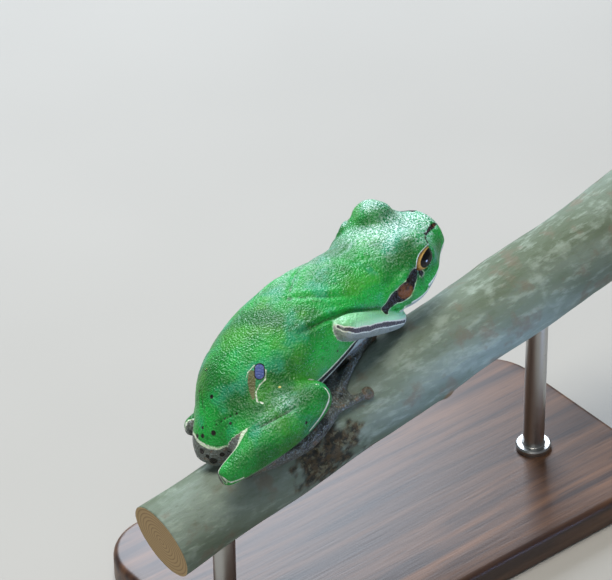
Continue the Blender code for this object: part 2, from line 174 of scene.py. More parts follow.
@contextmanager
def edited(mesh: bpy.types.Mesh) -> Iterator[bmesh.types.BMesh]:
    """Opens a mesh for work on its faces and writes it back.

    Args:
        mesh: The mesh.

    Returns:
        The open mesh, for a with statement.
    """
    bm = bmesh.new()
    bm.from_mesh(mesh)
    yield bm
    bm.to_mesh(mesh)
    bm.free()


def linked(name: str, data: bpy.types.ID) -> bpy.types.Object:
    """An object of the scene for a mesh, a lamp or a camera.

    Args:
        name: Its name.
        data: Its mesh, lamp or camera.

    Returns:
        The object.
    """
    made = bpy.data.objects.new(name, data)
    bpy.context.scene.collection.objects.link(made)
    return made


def mesh_object(name: str, points: Array, faces: list[tuple[int, ...]]) -> bpy.types.Object:
    """Makes a linked object whose faces point outwards.

    Args:
        name: The piece's name.
        points: Its vertices.
        faces: Its faces, as vertex numbers.

    Returns:
        The object.
    """
    mesh = bpy.data.meshes.new(name)
    mesh.from_pydata([tuple(p) for p in points], [], faces)
    with edited(mesh) as bm:
        bmesh.ops.recalc_face_normals(bm, faces=bm.faces)
    return linked(name, mesh)


def skin_rings(name: str, rings: Array) -> bpy.types.Object:
    """Closes rings of points into one form, with a point in the middle of each end.

    Args:
        name: The piece's name.
        rings: Points by ring and by place round the ring.

    Returns:
        The object.
    """
    count, sides = rings.shape[:2]
    points = np.vstack([rings.reshape(-1, 3), rings[0].mean(axis=0), rings[-1].mean(axis=0)])
    first, last = count * sides, count * sides + 1
    faces: list[tuple[int, ...]] = []
    for i in range(sides):
        j = (i + 1) % sides
        walls = [(n * sides, (n + 1) * sides) for n in range(count - 1)]
        faces += [(low + i, low + j, high + j, high + i) for low, high in walls]
        faces += [(j, i, first), ((count - 1) * sides + i, (count - 1) * sides + j, last)]
    return mesh_object(name, points, faces)


def ball(centre: Point, radii: Point, turn: Optional[Matrix] = None) -> bpy.types.Object:
    """Makes an ellipsoid form.

    Args:
        centre: Its middle.
        radii: Its three half sizes.
        turn: Its rotation, if it has one.

    Returns:
        The object.
    """
    place = Matrix.Translation(Vector(centre)) @ (turn.to_4x4() if turn else Matrix.Identity(4))
    mesh = bpy.data.meshes.new("ball")
    with edited(mesh) as bm:
        bmesh.ops.create_uvsphere(bm, u_segments=40, v_segments=24, radius=1.0)
        bmesh.ops.transform(bm, matrix=place @ Matrix.Diagonal((*radii, 1.0)), verts=bm.verts)
    return linked("ball", mesh)


def tube(
    points: Sequence[Point], radii: Sequence[float], sides: int = 20, steps: int = 7
) -> bpy.types.Object:
    """Makes a rounded limb through points.

    Args:
        points: The joints that it passes.
        radii: Its radius at each.
        sides: Points round each ring.
        steps: Rings for each stretch.

    Returns:
        The object.
    """
    way = np.array(points, float)
    thick = np.array(radii, float)
    start = way[0] - unit(way[1] - way[0]) * thick[0] * 0.75
    end = way[-1] + unit(way[-1] - way[-2]) * thick[-1] * 0.75
    way = np.vstack([start, way, end])
    thick = np.concatenate([[thick[0] * 0.35], thick, [thick[-1] * 0.35]])
    places = np.linspace(0, len(way) - 1, (len(way) - 1) * steps + 1)
    centres = catmull(way, places)
    radius = catmull(thick[:, None], places)[:, 0]
    forward = unit(np.gradient(centres, axis=0))
    side = np.cross(forward[0], (0.31, 0.57, 0.76))
    rings = []
    for centre, thickness, ahead in zip(centres, radius, forward):
        side = unit(side - ahead * (side @ ahead))
        top = np.cross(ahead, side)
        angle = np.linspace(0, 2 * math.pi, sides, endpoint=False)[:, None]
        rings.append(centre + thickness * (side * np.cos(angle) + top * np.sin(angle)))
    return skin_rings("tube", np.array(rings))


def select_only(*objects: bpy.types.Object) -> None:
    """Leaves only these objects selected, the first one active.

    Args:
        *objects: The objects.
    """
    bpy.ops.object.select_all(action="DESELECT")
    for item in objects:
        item.select_set(True)
    bpy.context.view_layer.objects.active = objects[0]


def apply_modifier(piece: bpy.types.Object, kind: str, **settings: object) -> None:
    """Gives a piece one modifier and applies it.

    Args:
        piece: The piece.
        kind: The modifier's type.
        **settings: The modifier's own values.
    """
    select_only(piece)
    modifier = piece.modifiers.new(kind.lower(), kind)
    for key, value in settings.items():
        setattr(modifier, key, value)
    bpy.ops.object.modifier_apply(modifier=modifier.name)


def read_points(piece: bpy.types.Object, what: str = "co") -> Array:
    """The vertices of a piece as rows, or what else is read of them.

    Args:
        piece: The piece.
        what: What is read of each vertex.

    Returns:
        One row for each vertex.
    """
    flat = np.empty(len(piece.data.vertices) * 3, np.float32)
    piece.data.vertices.foreach_get(what, flat)
    return flat.reshape(-1, 3).astype(float)


def read_normals(piece: bpy.types.Object) -> Array:
    """The vertex normals of a piece as rows."""
    return read_points(piece, "normal")


def write_points(piece: bpy.types.Object, points: Array) -> None:
    """Moves the vertices of a piece to these rows."""
    piece.data.vertices.foreach_set("co", points.astype(np.float32).ravel())
    piece.data.update()


def write_values(piece: bpy.types.Object, name: str, values: Array) -> None:
    """Stores one number for each vertex, for a material to read."""
    made = piece.data.attributes.new(name, "FLOAT", "POINT")
    made.data.foreach_set("value", values.astype(np.float32))


def push_out(piece: bpy.types.Object, points: Array, push: Array) -> None:
    """Moves the vertices of a piece outwards from these places, by their own distances."""
    write_points(piece, points + read_normals(piece) * push[:, None])


class Neighbours:
    """Which vertices of a piece are joined by an edge."""

    def __init__(self, piece: bpy.types.Object) -> None:
        """Reads the piece's edges.

        Args:
            piece: The piece.
        """
        ends = np.empty(len(piece.data.edges) * 2, np.int32)
        piece.data.edges.foreach_get("vertices", ends)
        ends = ends.reshape(-1, 2)
        both = np.concatenate([ends, ends[:, ::-1]])
        self.here, self.there = both[:, 0], both[:, 1]
        self.size = len(piece.data.vertices)
        self.count = np.bincount(self.here, minlength=self.size)

    def middle(self, points: Array) -> Array:
        """The middle of each vertex's neighbours."""
        sums = [np.bincount(self.here, points[self.there, axis], self.size) for axis in range(3)]
        return np.stack([total / self.count for total in sums], axis=1)


def fill_hollows(piece: bpy.types.Object, weights: Array, rounds: int) -> None:
    """Raises the hollows of a piece towards their surroundings, as flesh fills them, and leaves its humps.

    Args:
        piece: The piece.
        weights: How strongly each vertex moves, from 0 to 1.
        rounds: How many times it is done.
    """
    near = Neighbours(piece)
    points = read_points(piece)
    for turn in range(rounds):
        if turn % 5 == 0:
            write_points(piece, points)
            normals = read_normals(piece)
        rise = ((near.middle(points) - points) * normals).sum(axis=1)
        points = points + normals * (np.maximum(rise, 0) * weights)[:, None]
    write_points(piece, points)


def hollows(piece: bpy.types.Object, rounds: int) -> Array:
    """How hollow a piece is at each vertex, from 0 to 1.

    Args:
        piece: The piece.
        rounds: How far round it is smoothed.

    Returns:
        One value for each vertex.
    """
    near = Neighbours(piece)
    points = read_points(piece)
    smooth = points.copy()
    for _ in range(rounds):
        smooth = near.middle(smooth)
    return smoothstep(0.02, 0.14, ((smooth - points) * read_normals(piece)).sum(axis=1))


def keep_largest(piece: bpy.types.Object) -> None:
    """Drops every loose scrap and sealed hollow of a piece.

    Args:
        piece: The piece.
    """
    with edited(piece.data) as bm:
        unseen = set(bm.faces)
        islands = []
        while unseen:
            stack = [unseen.pop()]
            island = list(stack)
            while stack:
                around = {near for edge in stack.pop().edges for near in edge.link_faces} & unseen
                unseen -= around
                island += around
                stack += around
            islands.append(island)
        islands.sort(key=len)
        for island in islands[:-1]:
            bmesh.ops.delete(bm, geom=island, context="FACES")
        bmesh.ops.delete(bm, geom=[v for v in bm.verts if not v.link_faces], context="VERTS")


# Materials


def linear(code: str) -> tuple[float, float, float, float]:
    """An sRGB hex colour as the linear values that a socket takes."""
    channels = [int(code[n : n + 2], 16) / 255 for n in (1, 3, 5)]
    return (*(c / 12.92 if c <= 0.04045 else ((c + 0.055) / 1.055) ** 2.4 for c in channels), 1.0)


def per(size: float) -> float:
    """The scale that gives a pattern's cells this size in millimetres, on coordinates in metres."""
    return 1.0 / (size * MM)


# The output that a kind of node is read from, where it isn't its first one
OUTPUTS = {"Mix": 2, "Attribute": "Fac", "VectorMath": "Value", "TexCoord": "Object"}
SOFT = {"interpolation_type": "SMOOTHSTEP"}


class Bench:
    """A new material and the nodes laid out in it."""

    def __init__(self, name: str) -> None:
        """Starts a material with an output and nothing else.

        Args:
            name: The finish's name.
        """
        self.material = bpy.data.materials.new(name)
        self.material.use_nodes = True
        self.tree = self.material.node_tree
        self.tree.nodes.clear()
        self.output = self.tree.nodes.new("ShaderNodeOutputMaterial")
        self.place = self.add("TexCoord")

    def add(
        self, kind: str, values: Optional[dict] = None, read: Optional[str] = None
    ) -> bpy.types.NodeSocket:
        """Adds one node with its settings and links.

        Args:
            kind: The node's type, without the words that every type starts with.
            values: Its own settings by name, and what its sockets hold, by their name or number: a plain
                value, a hex code, or the output that feeds the socket.
            read: The output that is wanted, where it isn't the usual one.

        Returns:
            The node's output.
        """
        node = self.tree.nodes.new("ShaderNode" + kind)
        for key, value in (values or {}).items():
            if isinstance(value, bpy.types.NodeSocket):
                self.tree.links.new(value, node.inputs[key])
            elif isinstance(key, str) and hasattr(node, key):
                setattr(node, key, value)
            else:
                node.inputs[key].default_value = linear(value) if isinstance(value, str) else value
        return node.outputs[read or OUTPUTS.get(kind, 0)]

    def lay(self, colour: object, *layers: tuple) -> bpy.types.NodeSocket:
        """Lays tones over a colour, one after another.

        Args:
            colour: The colour under them all, an output or a hex code.
            *layers: Each one's tone and then its share, an output from 0 to 1. Where numbers follow, the
                share rises softly between the first two instead, and a third is the most that it reaches.

        Returns:
            The colour on top.
        """
        for tone, share, *ends in layers:
            if ends:
                rise = dict(zip(("From Min", "From Max", "To Max"), ends))
                share = self.add("MapRange", {**SOFT, "Value": share, **rise})
            colour = self.add("Mix", {"data_type": "RGBA", 0: share, 6: colour, 7: tone})
        return colour

    def finish(self, values: dict) -> bpy.types.Material:
        """Gives the surface its shader and hands over the material."""
        self.tree.links.new(self.add("BsdfPrincipled", values), self.output.inputs["Surface"])
        return self.material


# The branch's frame


@dataclass(frozen=True)
class BranchSpace:
    """The slanting frame of the branch and its place in the world."""

    slope: float = math.radians(11.4)
    origin: Point = (-17.0, -3.0, 24.5)

    def matrix(self) -> Matrix:
        """This frame's place in the world, from millimetres to metres."""
        lift = Matrix.Translation(Vector(self.origin) * MM)
        return lift @ Matrix.Rotation(-self.slope, 4, "Y") @ Matrix.Scale(MM, 4)

    def direction(self, way: Point) -> Vector:
        """A direction of this frame in the world."""
        return Matrix.Rotation(-self.slope, 3, "Y") @ Vector(way)


SPACE = BranchSpace()


def settle(piece: bpy.types.Object, slot: str, *nodes: str) -> bpy.types.Object:
    """Puts a piece made in the branch's frame into the world and ties it to the frame.

    Args:
        piece: The piece, its object at the origin.
        slot: Not used; it is only handed on to tie.
        *nodes: The nodes that it stands for.

    Returns:
        The piece.
    """
    piece.data.transform(SPACE.matrix())
    piece.data.update()
    return tie(piece, slot, *nodes)


def tie(piece: bpy.types.Object, slot: str, *nodes: str) -> bpy.types.Object:
    """Ties a piece that is already in the world to the frame, as settle does.

    Args:
        piece: The piece.
        slot: Not used.
        *nodes: The nodes that it stands for.

    Returns:
        The piece.
    """
    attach(piece, BODY)
    if nodes:
        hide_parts(*nodes)
    LOG.info("%s: %d faces", piece.name, len(piece.data.polygons))
    return piece


# The perch


@dataclass(frozen=True)
class BarkFinish:
    """Smooth living bark of a young branch: grey-olive and dull, with pale patches and lengthwise streaks."""

    olive: str = "#5f6b58"
    grey: str = "#7f8c82"
    lichen: str = "#98a599"
    brown: str = "#75695a"
    wound: str = "#4b3a22"
    dark: str = "#171208"
    crust: str = "#77755c"
    bud: str = "#80603f"
    # Pale tone of a painted sheen, laid in fine random flecks over the bark
    sheen: str = "#b9c2b8"

    def make(self) -> bpy.types.Material:
        """Lays out the material.

        Returns:
            The material.
        """
        bench = Bench("smooth_grey_olive_bark")
        add, place = bench.add, bench.place
        along = add("Mapping", {"Vector": place, "Scale": (0.3, 1.0, 1.0)})
        # Streaks are about 1 mm wide and three times as long; the pale and brown patches are 3 to 9 mm across
        streaks = add("TexNoise", {"Vector": along, "Scale": per(1.3), "Detail": 5.0, "Roughness": 0.65})
        fine = add("TexNoise", {"Vector": along, "Scale": per(0.45), "Detail": 4.0, "Roughness": 0.6})
        patch = add("TexNoise", {"Vector": place, "Scale": per(3.5), "Detail": 5.0, "Roughness": 0.55})
        broad = add("TexNoise", {"Vector": along, "Scale": per(9), "Detail": 3.0})
        crumbs = add("TexNoise", {"Vector": place, "Scale": per(0.8), "Detail": 5.0, "Roughness": 0.7})
        flakes = add("TexNoise", {"Vector": place, "Scale": per(1.1), "Detail": 3.0, "Roughness": 0.7})
        broken = bench.lay(self.dark, (self.wound, crumbs, 0.42, 0.58), (self.crust, flakes, 0.52, 0.62, 0.6))
        colour = bench.lay(
            self.olive,
            (self.grey, broad, 0.35, 0.65),
            (self.lichen, streaks, 0.5, 0.66, 0.6),
            (self.lichen, patch, 0.56, 0.7, 0.5),
            (self.brown, patch, 0.46, 0.32, 0.6),
            (self.olive, streaks, 0.46, 0.3, 0.5),
            (broken, add("Attribute", {"attribute_name": "wear"})),
            (self.bud, add("Attribute", {"attribute_name": "bud"})),
        )
        # Painted sheen: fine flecks are lightened with a soft-light pale tone, as if they caught the light
        share = add("MapRange", {**SOFT, "Value": fine, "From Min": 0.25, "From Max": 0.75, "To Max": 0.45})
        soft_light = {"data_type": "RGBA", "blend_type": "SOFT_LIGHT"}
        colour = add("Mix", {**soft_light, 0: share, 6: colour, 7: self.sheen})
        height = add("Math", {"operation": "MULTIPLY_ADD", 0: streaks, 1: 1.5, 2: fine})
        bump = add("Bump", {"Strength": 0.6, "Distance": 0.16 * MM, "Height": height})
        return bench.finish(
            {"Roughness": 0.75, "Specular IOR Level": 0.3, "Base Color": colour, "Normal": bump}
        )


@dataclass(frozen=True)
class EndGrainFinish:
    """A sawn branch end: pale sapwood with fine growth rings round a small pith, dull."""

    pale: str = "#b79a6c"
    ring: str = "#8c6d43"
    # The yearly rings of a thin, slow branch, in millimetres
    ring_width: float = 0.55

    def make(self) -> bpy.types.Material:
        """Lays out the material.

        Returns:
            The material.
        """
        bench = Bench("sawn_end_grain")
        reach = bench.add("Attribute", {"attribute_name": "ring_reach"})
        turns = bench.add("Math", {"operation": "MULTIPLY", 0: reach, 1: 1 / self.ring_width})
        saw = bench.add("Math", {"operation": "FRACT", 0: turns})
        late = bench.add("MapRange", {"Value": saw, "From Min": 0.55, "From Max": 1.0})
        return bench.finish({"Roughness": 0.75, "Base Color": bench.lay(self.pale, (self.ring, late))})


@dataclass
class Perch:
    """The cut length of branch."""

    rear: float = -23.0
    front: float = 60.0
    radius: float = 5.45
    taper: float = 0.014
    swell: float = 0.22
    rings: int = 330
    sides: int = 132
    scar_along: float = 20.9
    scar_angle: float = math.radians(-124)
    wound_along: float = 0.5
    wound_angle: float = math.radians(-80)

    def reach(self, x: Array, angle: Array) -> Array:
        """The plain branch's radius at places along and round it, as the solid has it."""
        swell = np.sin(0.21 * x + 0.8) * np.cos(angle * 2 + 0.09 * x) + 0.6 * np.sin(0.11 * x - angle)
        return self.radius + self.taper * x + self.swell * swell

    def on_bark(self, x: float, degrees: float, over: float) -> Point:
        """Finds a point over the bark.

        Args:
            x: Its place along the branch.
            degrees: Its place round the branch from the top, positive to the frog's left.
            over: Its height over the plain surface.

        Returns:
            The point.
        """
        angle = math.radians(degrees)
        reach = float(self.reach(np.array([x]), np.array([angle]))[0]) + over
        return (x, reach * math.sin(angle), reach * math.cos(angle))

    def near(self, x: Array, angle: Array, along: float, turn: float) -> Array:
        """How far places on the bark are from one place on it, in millimetres."""
        round_way = (np.mod(angle - turn + math.pi, 2 * math.pi) - math.pi) * self.radius
        return np.hypot(x - along, round_way)

    def relief(self, x: Array, angle: Array) -> Array:
        """The bark's own bumps: long low wrinkles, a bud scar and a patch of broken bark.

        Args:
            x: Places along the branch.
            angle: Their angles round it, from its top.

        Returns:
            The height of each place over the plain branch, in millimetres.
        """
        ring = np.stack([x * 0.4, self.radius * np.sin(angle), self.radius * np.cos(angle)], axis=1)
        height = 0.05 * grain(ring, 1.6, 3.0) + 0.04 * grain(ring * (0.6, 1, 1), 0.6, 9.0)
        scar = self.near(x, angle, self.scar_along, self.scar_angle)
        height += 0.5 * bell(scar, 0.9) - 0.25 * bell(scar, 0.4)
        wound = self.near(x, angle, self.wound_along, self.wound_angle)
        rough = grain(ring * (2.5, 1, 1), 0.8, 21.0)
        gum = grain(ring * (2.2, 1, 1), 0.5, 33.0)
        height += smoothstep(5.0, 2.5, wound) * (0.2 * rough + 0.14 * np.maximum(gum, 0) - 0.08)
        return height

    def build(self) -> bpy.types.Object:
        """Makes the branch with its cut ends, dressed.

        Returns:
            The finished piece.
        """
        x = np.linspace(self.rear, self.front, self.rings)
        angle = np.linspace(0, 2 * math.pi, self.sides, endpoint=False)
        flat_x, flat_a = (grid.ravel() for grid in np.meshgrid(x, angle, indexing="ij"))
        reach = self.reach(flat_x, flat_a) + self.relief(flat_x, flat_a)
        rings = np.stack([flat_x, reach * np.sin(flat_a), reach * np.cos(flat_a)], axis=1)
        rings = rings.reshape(self.rings, self.sides, 3)
        rings = np.concatenate([self.end_rings(rings[0])[::-1], rings, self.end_rings(rings[-1])])
        piece = skin_rings("perch_bark", rings)
        points = read_points(piece)
        around = np.arctan2(points[:, 1], points[:, 2])
        wound = self.near(points[:, 0], around, self.wound_along, self.wound_angle)
        rough = grain(points, 1.6, 5.0) + 0.6 * grain(points, 0.7, 8.0)
        write_values(piece, "wear", smoothstep(6.2, 3.4, wound + 3.2 * rough) * 0.92)
        bud = self.near(points[:, 0], around, self.scar_along, self.scar_angle)
        write_values(piece, "bud", smoothstep(1.1, 0.7, bud) * 0.8)
        write_values(piece, "ring_reach", np.hypot(points[:, 1], points[:, 2]))
        piece.data.materials.append(BarkFinish().make())
        piece.data.materials.append(EndGrainFinish().make())
        for face in piece.data.polygons:
            if abs(face.normal.x) > 0.9 and not self.rear + 0.01 < face.center.x < self.front - 0.01:
                face.material_index = 1
        piece.data.shade_smooth()
        select_only(piece)
        return settle(piece, "bark", "perch_branch")

    def end_rings(self, edge: Array) -> Array:
        """The rings of a sawn end, from its edge inwards."""
        middle = edge.mean(axis=0)
        return np.array([middle + (edge - middle) * share for share in (0.985, 0.92, 0.75, 0.5, 0.25)])


# The frog's forms


class Station(NamedTuple):
    """A cross-section of the body: centre, half width, height up, height down, roll and squareness."""

    centre: Point
    width: float
    up: float
    down: float
    roll: float = 0.0
    square: float = 2.0


HEAD_ROLL = math.radians(8.0)


@dataclass(frozen=True)
class Head:
    """The head's own axes, from the middle between the eyes."""

    middle: Point = (25.4, 6.9, 15.5)
    roll: float = HEAD_ROLL
    eye_radius: float = 2.1
    eye_side: float = 4.6
    eye_back: float = 0.6
    eye_drop: float = 0.25

    def turn(self) -> Matrix:
        """The head's rotation."""
        return Matrix.Rotation(self.roll, 3, "X")

    def aim(self, forward: float, left: float, up: float) -> Array:
        """A direction given along the head's axes."""
        return np.array(self.turn() @ Vector((forward, left, up)))

    def spot(self, forward: float, left: float, up: float) -> Array:
        """A place given along the head's axes."""
        return np.array(self.middle) + self.aim(forward, left, up)

    def local(self, points: Array) -> Array:
        """Points measured forward, left and up along the head's axes."""
        return (points - np.array(self.middle)) @ np.array(self.turn())

    def eye(self, side: Side) -> Array:
        """The middle of an eye."""
        return self.spot(-self.eye_back, side.value * self.eye_side, -self.eye_drop)


HEAD = Head()

BODY_STATIONS = (
    Station((-12.9, 1.3, 6.0), 1.7, 1.3, 1.3),
    Station((-11.5, 1.5, 7.5), 3.2, 2.7, 2.6),
    Station((-8.5, 2.0, 9.4), 4.7, 4.0, 3.8),
    Station((-4.0, 3.5, 11.2), 6.5, 5.4, 4.9),
    Station((2.0, 4.6, 12.2), 7.7, 6.1, 5.9),
    Station((8.4, 5.4, 12.9), 7.4, 5.7, 5.9, 0.03),
    Station((13.6, 5.8, 13.3), 6.2, 5.0, 5.3, 0.06),
    Station((17.0, 5.9, 13.2), 6.0, 4.6, 5.1, 0.1, 2.0),
    Station((19.6, 6.1, 12.8), 6.9, 4.9, 4.6, HEAD_ROLL, 2.05),
    Station((22.2, 6.25, 12.4), 7.15, 5.2, 3.7, HEAD_ROLL, 2.1),
    Station((24.8, 6.5, 12.4), 6.35, 4.75, 3.1, HEAD_ROLL, 2.15),
    Station((27.2, 6.8, 12.5), 5.15, 3.6, 2.8, HEAD_ROLL, 2.2),
    Station((29.2, 6.9, 12.6), 3.8, 3.0, 2.4, HEAD_ROLL, 2.2),
    Station((30.55, 6.9, 12.7), 3.0, 2.45, 1.9, HEAD_ROLL, 2.2),
    Station((31.25, 6.9, 12.7), 1.9, 1.4, 1.1, HEAD_ROLL, 2.0),
)


BELLY_STATIONS = (
    Station((-4.0, 4.4, 9.2), 2.0, 2.0, 2.0),
    Station((0.0, 4.9, 8.8), 3.8, 3.8, 4.0),
    Station((5.0, 5.4, 8.8), 4.4, 4.4, 5.0),
    Station((10.0, 5.6, 8.9), 4.5, 4.5, 5.5),
    Station((14.0, 5.8, 9.2), 4.2, 4.2, 5.6),
    Station((17.5, 6.3, 9.8), 2.8, 2.8, 3.6),
)

# Flesh that joins the thigh and shank of the right leg
LAP_JOINTS = (((-0.6, -4.3, 11.3), 2.2), ((-5.2, -3.5, 10.9), 2.5), ((-10.0, -2.6, 9.9), 2.1))

# Forms that carry the brow from the eye into the head: place inwards from the eye, and radii
BROW_FORMS = (
    ((-0.2, 1.1, 0.4), (2.9, 2.4, 2.75)), ((-0.5, 2.6, -0.1), (3.3, 2.6, 2.1)),
    ((-2.4, 0.4, -0.7), (2.8, 2.2, 2.0)), ((1.4, 1.0, -1.1), (2.4, 1.8, 1.6)),
)


class BodyLoft:
    """The trunk and head as one form, and places measured against it."""

    def __init__(self, stations: Sequence[Station], steps: int = 12) -> None:
        """Works out the form's smooth cross-sections.

        Args:
            stations: The cross-sections that shape it.
            steps: Smooth sections for each station.
        """
        table = np.array([(*s.centre, s.width, s.up, s.down, s.roll, s.square) for s in stations])
        self.places = np.linspace(0, len(stations) - 1, (len(stations) - 1) * steps + 1)
        rows = catmull(table, self.places)
        self.centres, self.sizes = rows[:, :3], rows[:, 3:6]
        self.squares = rows[:, 7]
        self.forward = unit(np.gradient(self.centres, axis=0))
        level = unit(np.cross((0.0, 0.0, 1.0), self.forward))
        rise = np.cross(self.forward, level)
        roll = rows[:, 6:7]
        self.sides = level * np.cos(roll) + rise * np.sin(roll)
        self.tops = np.cross(self.forward, self.sides)

    def build(self, around: int = 88) -> bpy.types.Object:
        """Makes the form.

        Args:
            around: Points round each ring.

        Returns:
            The object.
        """
        angle = np.linspace(0, 2 * math.pi, around, endpoint=False)
        rings = []
        for n, centre in enumerate(self.centres):
            power = 2 / self.squares[n]
            across = np.sign(np.cos(angle)) * np.abs(np.cos(angle)) ** power
            rise = np.sign(np.sin(angle)) * np.abs(np.sin(angle)) ** power
            width, up, down = self.sizes[n]
            height = np.where(rise > 0, up, down)
            level = np.outer(across * width, self.sides[n])
            rings.append(centre + level + np.outer(rise * height, self.tops[n]))
        return skin_rings("body_form", np.array(rings))

    def locate(self, points: Array) -> tuple[Array, Array, Array]:
        """Measures points against the form.

        Args:
            points: The places.

        Returns:
            The station number of each, its angle from level (positive up, on either side, to 90 degrees
            at the back's middle) and its distance outside the form.
        """
        best = np.empty(len(points), int)
        for start in range(0, len(points), 20000):
            part = points[start : start + 20000]
            gap = ((part[:, None, :] - self.centres[None]) ** 2).sum(axis=2)
            best[start : start + 20000] = gap.argmin(axis=1)
        offset = points - self.centres[best]
        across = (offset * self.sides[best]).sum(axis=1)
        rise = (offset * self.tops[best]).sum(axis=1)
        width, up, down = self.sizes[best].T
        height = np.where(rise > 0, up, down)
        share = np.hypot(across / width, rise / height)
        angle = np.arctan2(rise / height, np.abs(across) / width)
        return self.places[best], angle, (share - 1) * (width + height) / 2


class Joint(NamedTuple):
    """A place on a limb and its radius there."""

    place: Point
    radius: float


class Digit(NamedTuple):
    """A finger's or toe's tip on the bark: along the branch, and in degrees from its top."""

    along: float
    degrees: float


@dataclass(frozen=True)
class Limb:
    """One stretch of an arm or leg.

    Attributes:
        name: The CAD node that it stands for.
        joints: Its joints with their radii.
        outer: The direction that its green side faces, or None where it has none.
        spread: Half the width of the green side, in degrees round the limb.
    """

    name: str
    joints: tuple[Joint, ...]
    outer: Optional[Point] = None
    spread: float = 90.0

    def line(self) -> list[Point]:
        """Its joints' places."""
        return [joint.place for joint in self.joints]

    def build(self) -> bpy.types.Object:
        """Makes its form."""
        return tube(self.line(), [joint.radius for joint in self.joints])

    def outside(self, points: Array) -> tuple[Array, Array]:
        """Measures points against the limb.

        Args:
            points: The places.

        Returns:
            The distance of each outside the limb, and how far along the limb it lies, from 0 to 1.
        """
        away, along = to_polyline(points, self.line())
        steps = np.linalg.norm(np.diff(np.array(self.line()), axis=0), axis=1)
        marks = np.concatenate([[0.0], np.cumsum(steps)]) / steps.sum()
        radius = np.interp(along, marks, [joint.radius for joint in self.joints])
        return away - radius, along

    def green(self, points: Array) -> Array:
        """How far inside the limb's green side points lie, in millimetres.

        Args:
            points: The places.

        Returns:
            One distance for each place.
        """
        if self.outer is None:
            return np.full(len(points), -2.0)
        line = np.array(self.line())
        axis = unit(line[-1] - line[0])
        best, along = to_polyline(points, self.line())
        foot = np.array([line[0]]) + along[:, None] * (line[-1] - line[0])
        for n in range(len(line) - 1):
            way = line[n + 1] - line[n]
            t = np.clip((points - line[n]) @ way / (way @ way), 0, 1)
            near = line[n] + t[:, None] * way
            closer = np.linalg.norm(points - near, axis=1) <= best + 1e-6
            foot[closer] = near[closer]
        out = np.array(self.outer, float)
        out = unit(out - axis * (out @ axis))
        ray = unit(points - foot - ((points - foot) @ axis)[:, None] * axis)
        turn = np.degrees(np.arccos(np.clip(ray @ out, -1, 1)))
        return np.radians(self.spread - turn) * self.joints[0].radius


@dataclass(frozen=True)
class Grasp:
    """A hand or foot: its root, its digits' tips on the bark and its webs.

    Attributes:
        name: The CAD node that it stands for.
        root: The joints from the wrist or heel down.
        palm: The palm's place on the bark.
        tips: The digits' tips.
        webbed: Whether skin joins the digits.
    """

    name: str
    root: tuple[Joint, ...]
    palm: Digit
    tips: tuple[Digit, ...]
    webbed: bool
    digit_radius: float = 0.56
    disc_radius: float = 0.95
    grip: float = 0.06
    palm_over: float = 0.85

    def forms(self, perch: Perch) -> list[bpy.types.Object]:
        """Makes the root, digits, discs and webs.

        Args:
            perch: The branch that it holds.

        Returns:
            The overlapping forms.
        """
        palm = perch.on_bark(self.palm.along, self.palm.degrees, self.palm_over)
        made = [tube([j.place for j in self.root] + [palm], [j.radius for j in self.root] + [1.2])]
        for tip in self.tips:
            made += [self.digit(perch, tip), self.disc(perch, tip)]
        if self.webbed:
            for first, second in zip(self.tips, self.tips[1:]):
                made.append(self.web(perch, first, second))
        return made

    def digit(self, perch: Perch, tip: Digit) -> bpy.types.Object:
        """A finger or toe, thicker at its joints.

        Args:
            perch: The branch that it holds.
            tip: The digit's tip.

        Returns:
            Its form.
        """
        points, radii = [], []
        for t in np.linspace(0, 1, 9):
            along = self.palm.along + (tip.along - self.palm.along) * t
            degrees = self.palm.degrees + (tip.degrees - self.palm.degrees) * t
            knob = 0.1 * math.exp(-(((t - 0.45) / 0.07) ** 2)) + 0.08 * math.exp(-(((t - 0.72) / 0.06) ** 2))
            radius = self.digit_radius * (1.15 - 0.35 * t) + knob
            points.append(perch.on_bark(along, degrees, radius + self.grip + 0.15 * math.sin(math.pi * t)))
            radii.append(radius)
        return tube(points, radii, sides=14, steps=4)

    def disc(self, perch: Perch, tip: Digit) -> bpy.types.Object:
        """The round sticky pad at a digit's end.

        Args:
            perch: The branch that it holds.
            tip: The digit's tip.

        Returns:
            Its form.
        """
        centre = perch.on_bark(tip.along, tip.degrees, self.grip + 0.38)
        outward = Vector((0.0, centre[1], centre[2]))
        turn = outward.to_track_quat("Z", "Y").to_matrix()
        return ball(centre, (self.disc_radius, self.disc_radius, 0.48), turn)

    def web(self, perch: Perch, first: Digit, second: Digit) -> bpy.types.Object:
        """A thin skin between two digits, from the palm out to a hollow edge.

        Args:
            perch: The branch that it holds.
            first: One digit's tip.
            second: The next digit's tip.

        Returns:
            Its form.
        """
        across, deep = 9, 9
        layers = []
        for over in (self.grip + 0.16, self.grip + 0.62):
            for i in range(deep):
                for j in range(across):
                    u = j / (across - 1)
                    edge = 0.72 * (1 - 0.35 * math.sin(math.pi * u))
                    t = 0.08 + (edge - 0.08) * i / (deep - 1)
                    end_x = first.along + (second.along - first.along) * u
                    end_a = first.degrees + (second.degrees - first.degrees) * u
                    x = self.palm.along + (end_x - self.palm.along) * t
                    a = self.palm.degrees + (end_a - self.palm.degrees) * t
                    layers.append(perch.on_bark(x, a, over))
        half = across * deep
        faces: list[tuple[int, ...]] = []
        for i in range(deep - 1):
            for j in range(across - 1):
                a = i * across + j
                quad = (a, a + 1, a + across + 1, a + across)
                faces += [quad, tuple(half + k for k in reversed(quad))]
        rim = [i * across for i in range(deep)] + [(deep - 1) * across + j for j in range(1, across)]
        rim += [i * across + across - 1 for i in range(deep - 2, -1, -1)] + list(range(across - 2, 0, -1))
        for a, b in zip(rim, rim[1:] + rim[:1]):
            faces.append((a, b, half + b, half + a))
        return mesh_object("web", np.array(layers), faces)


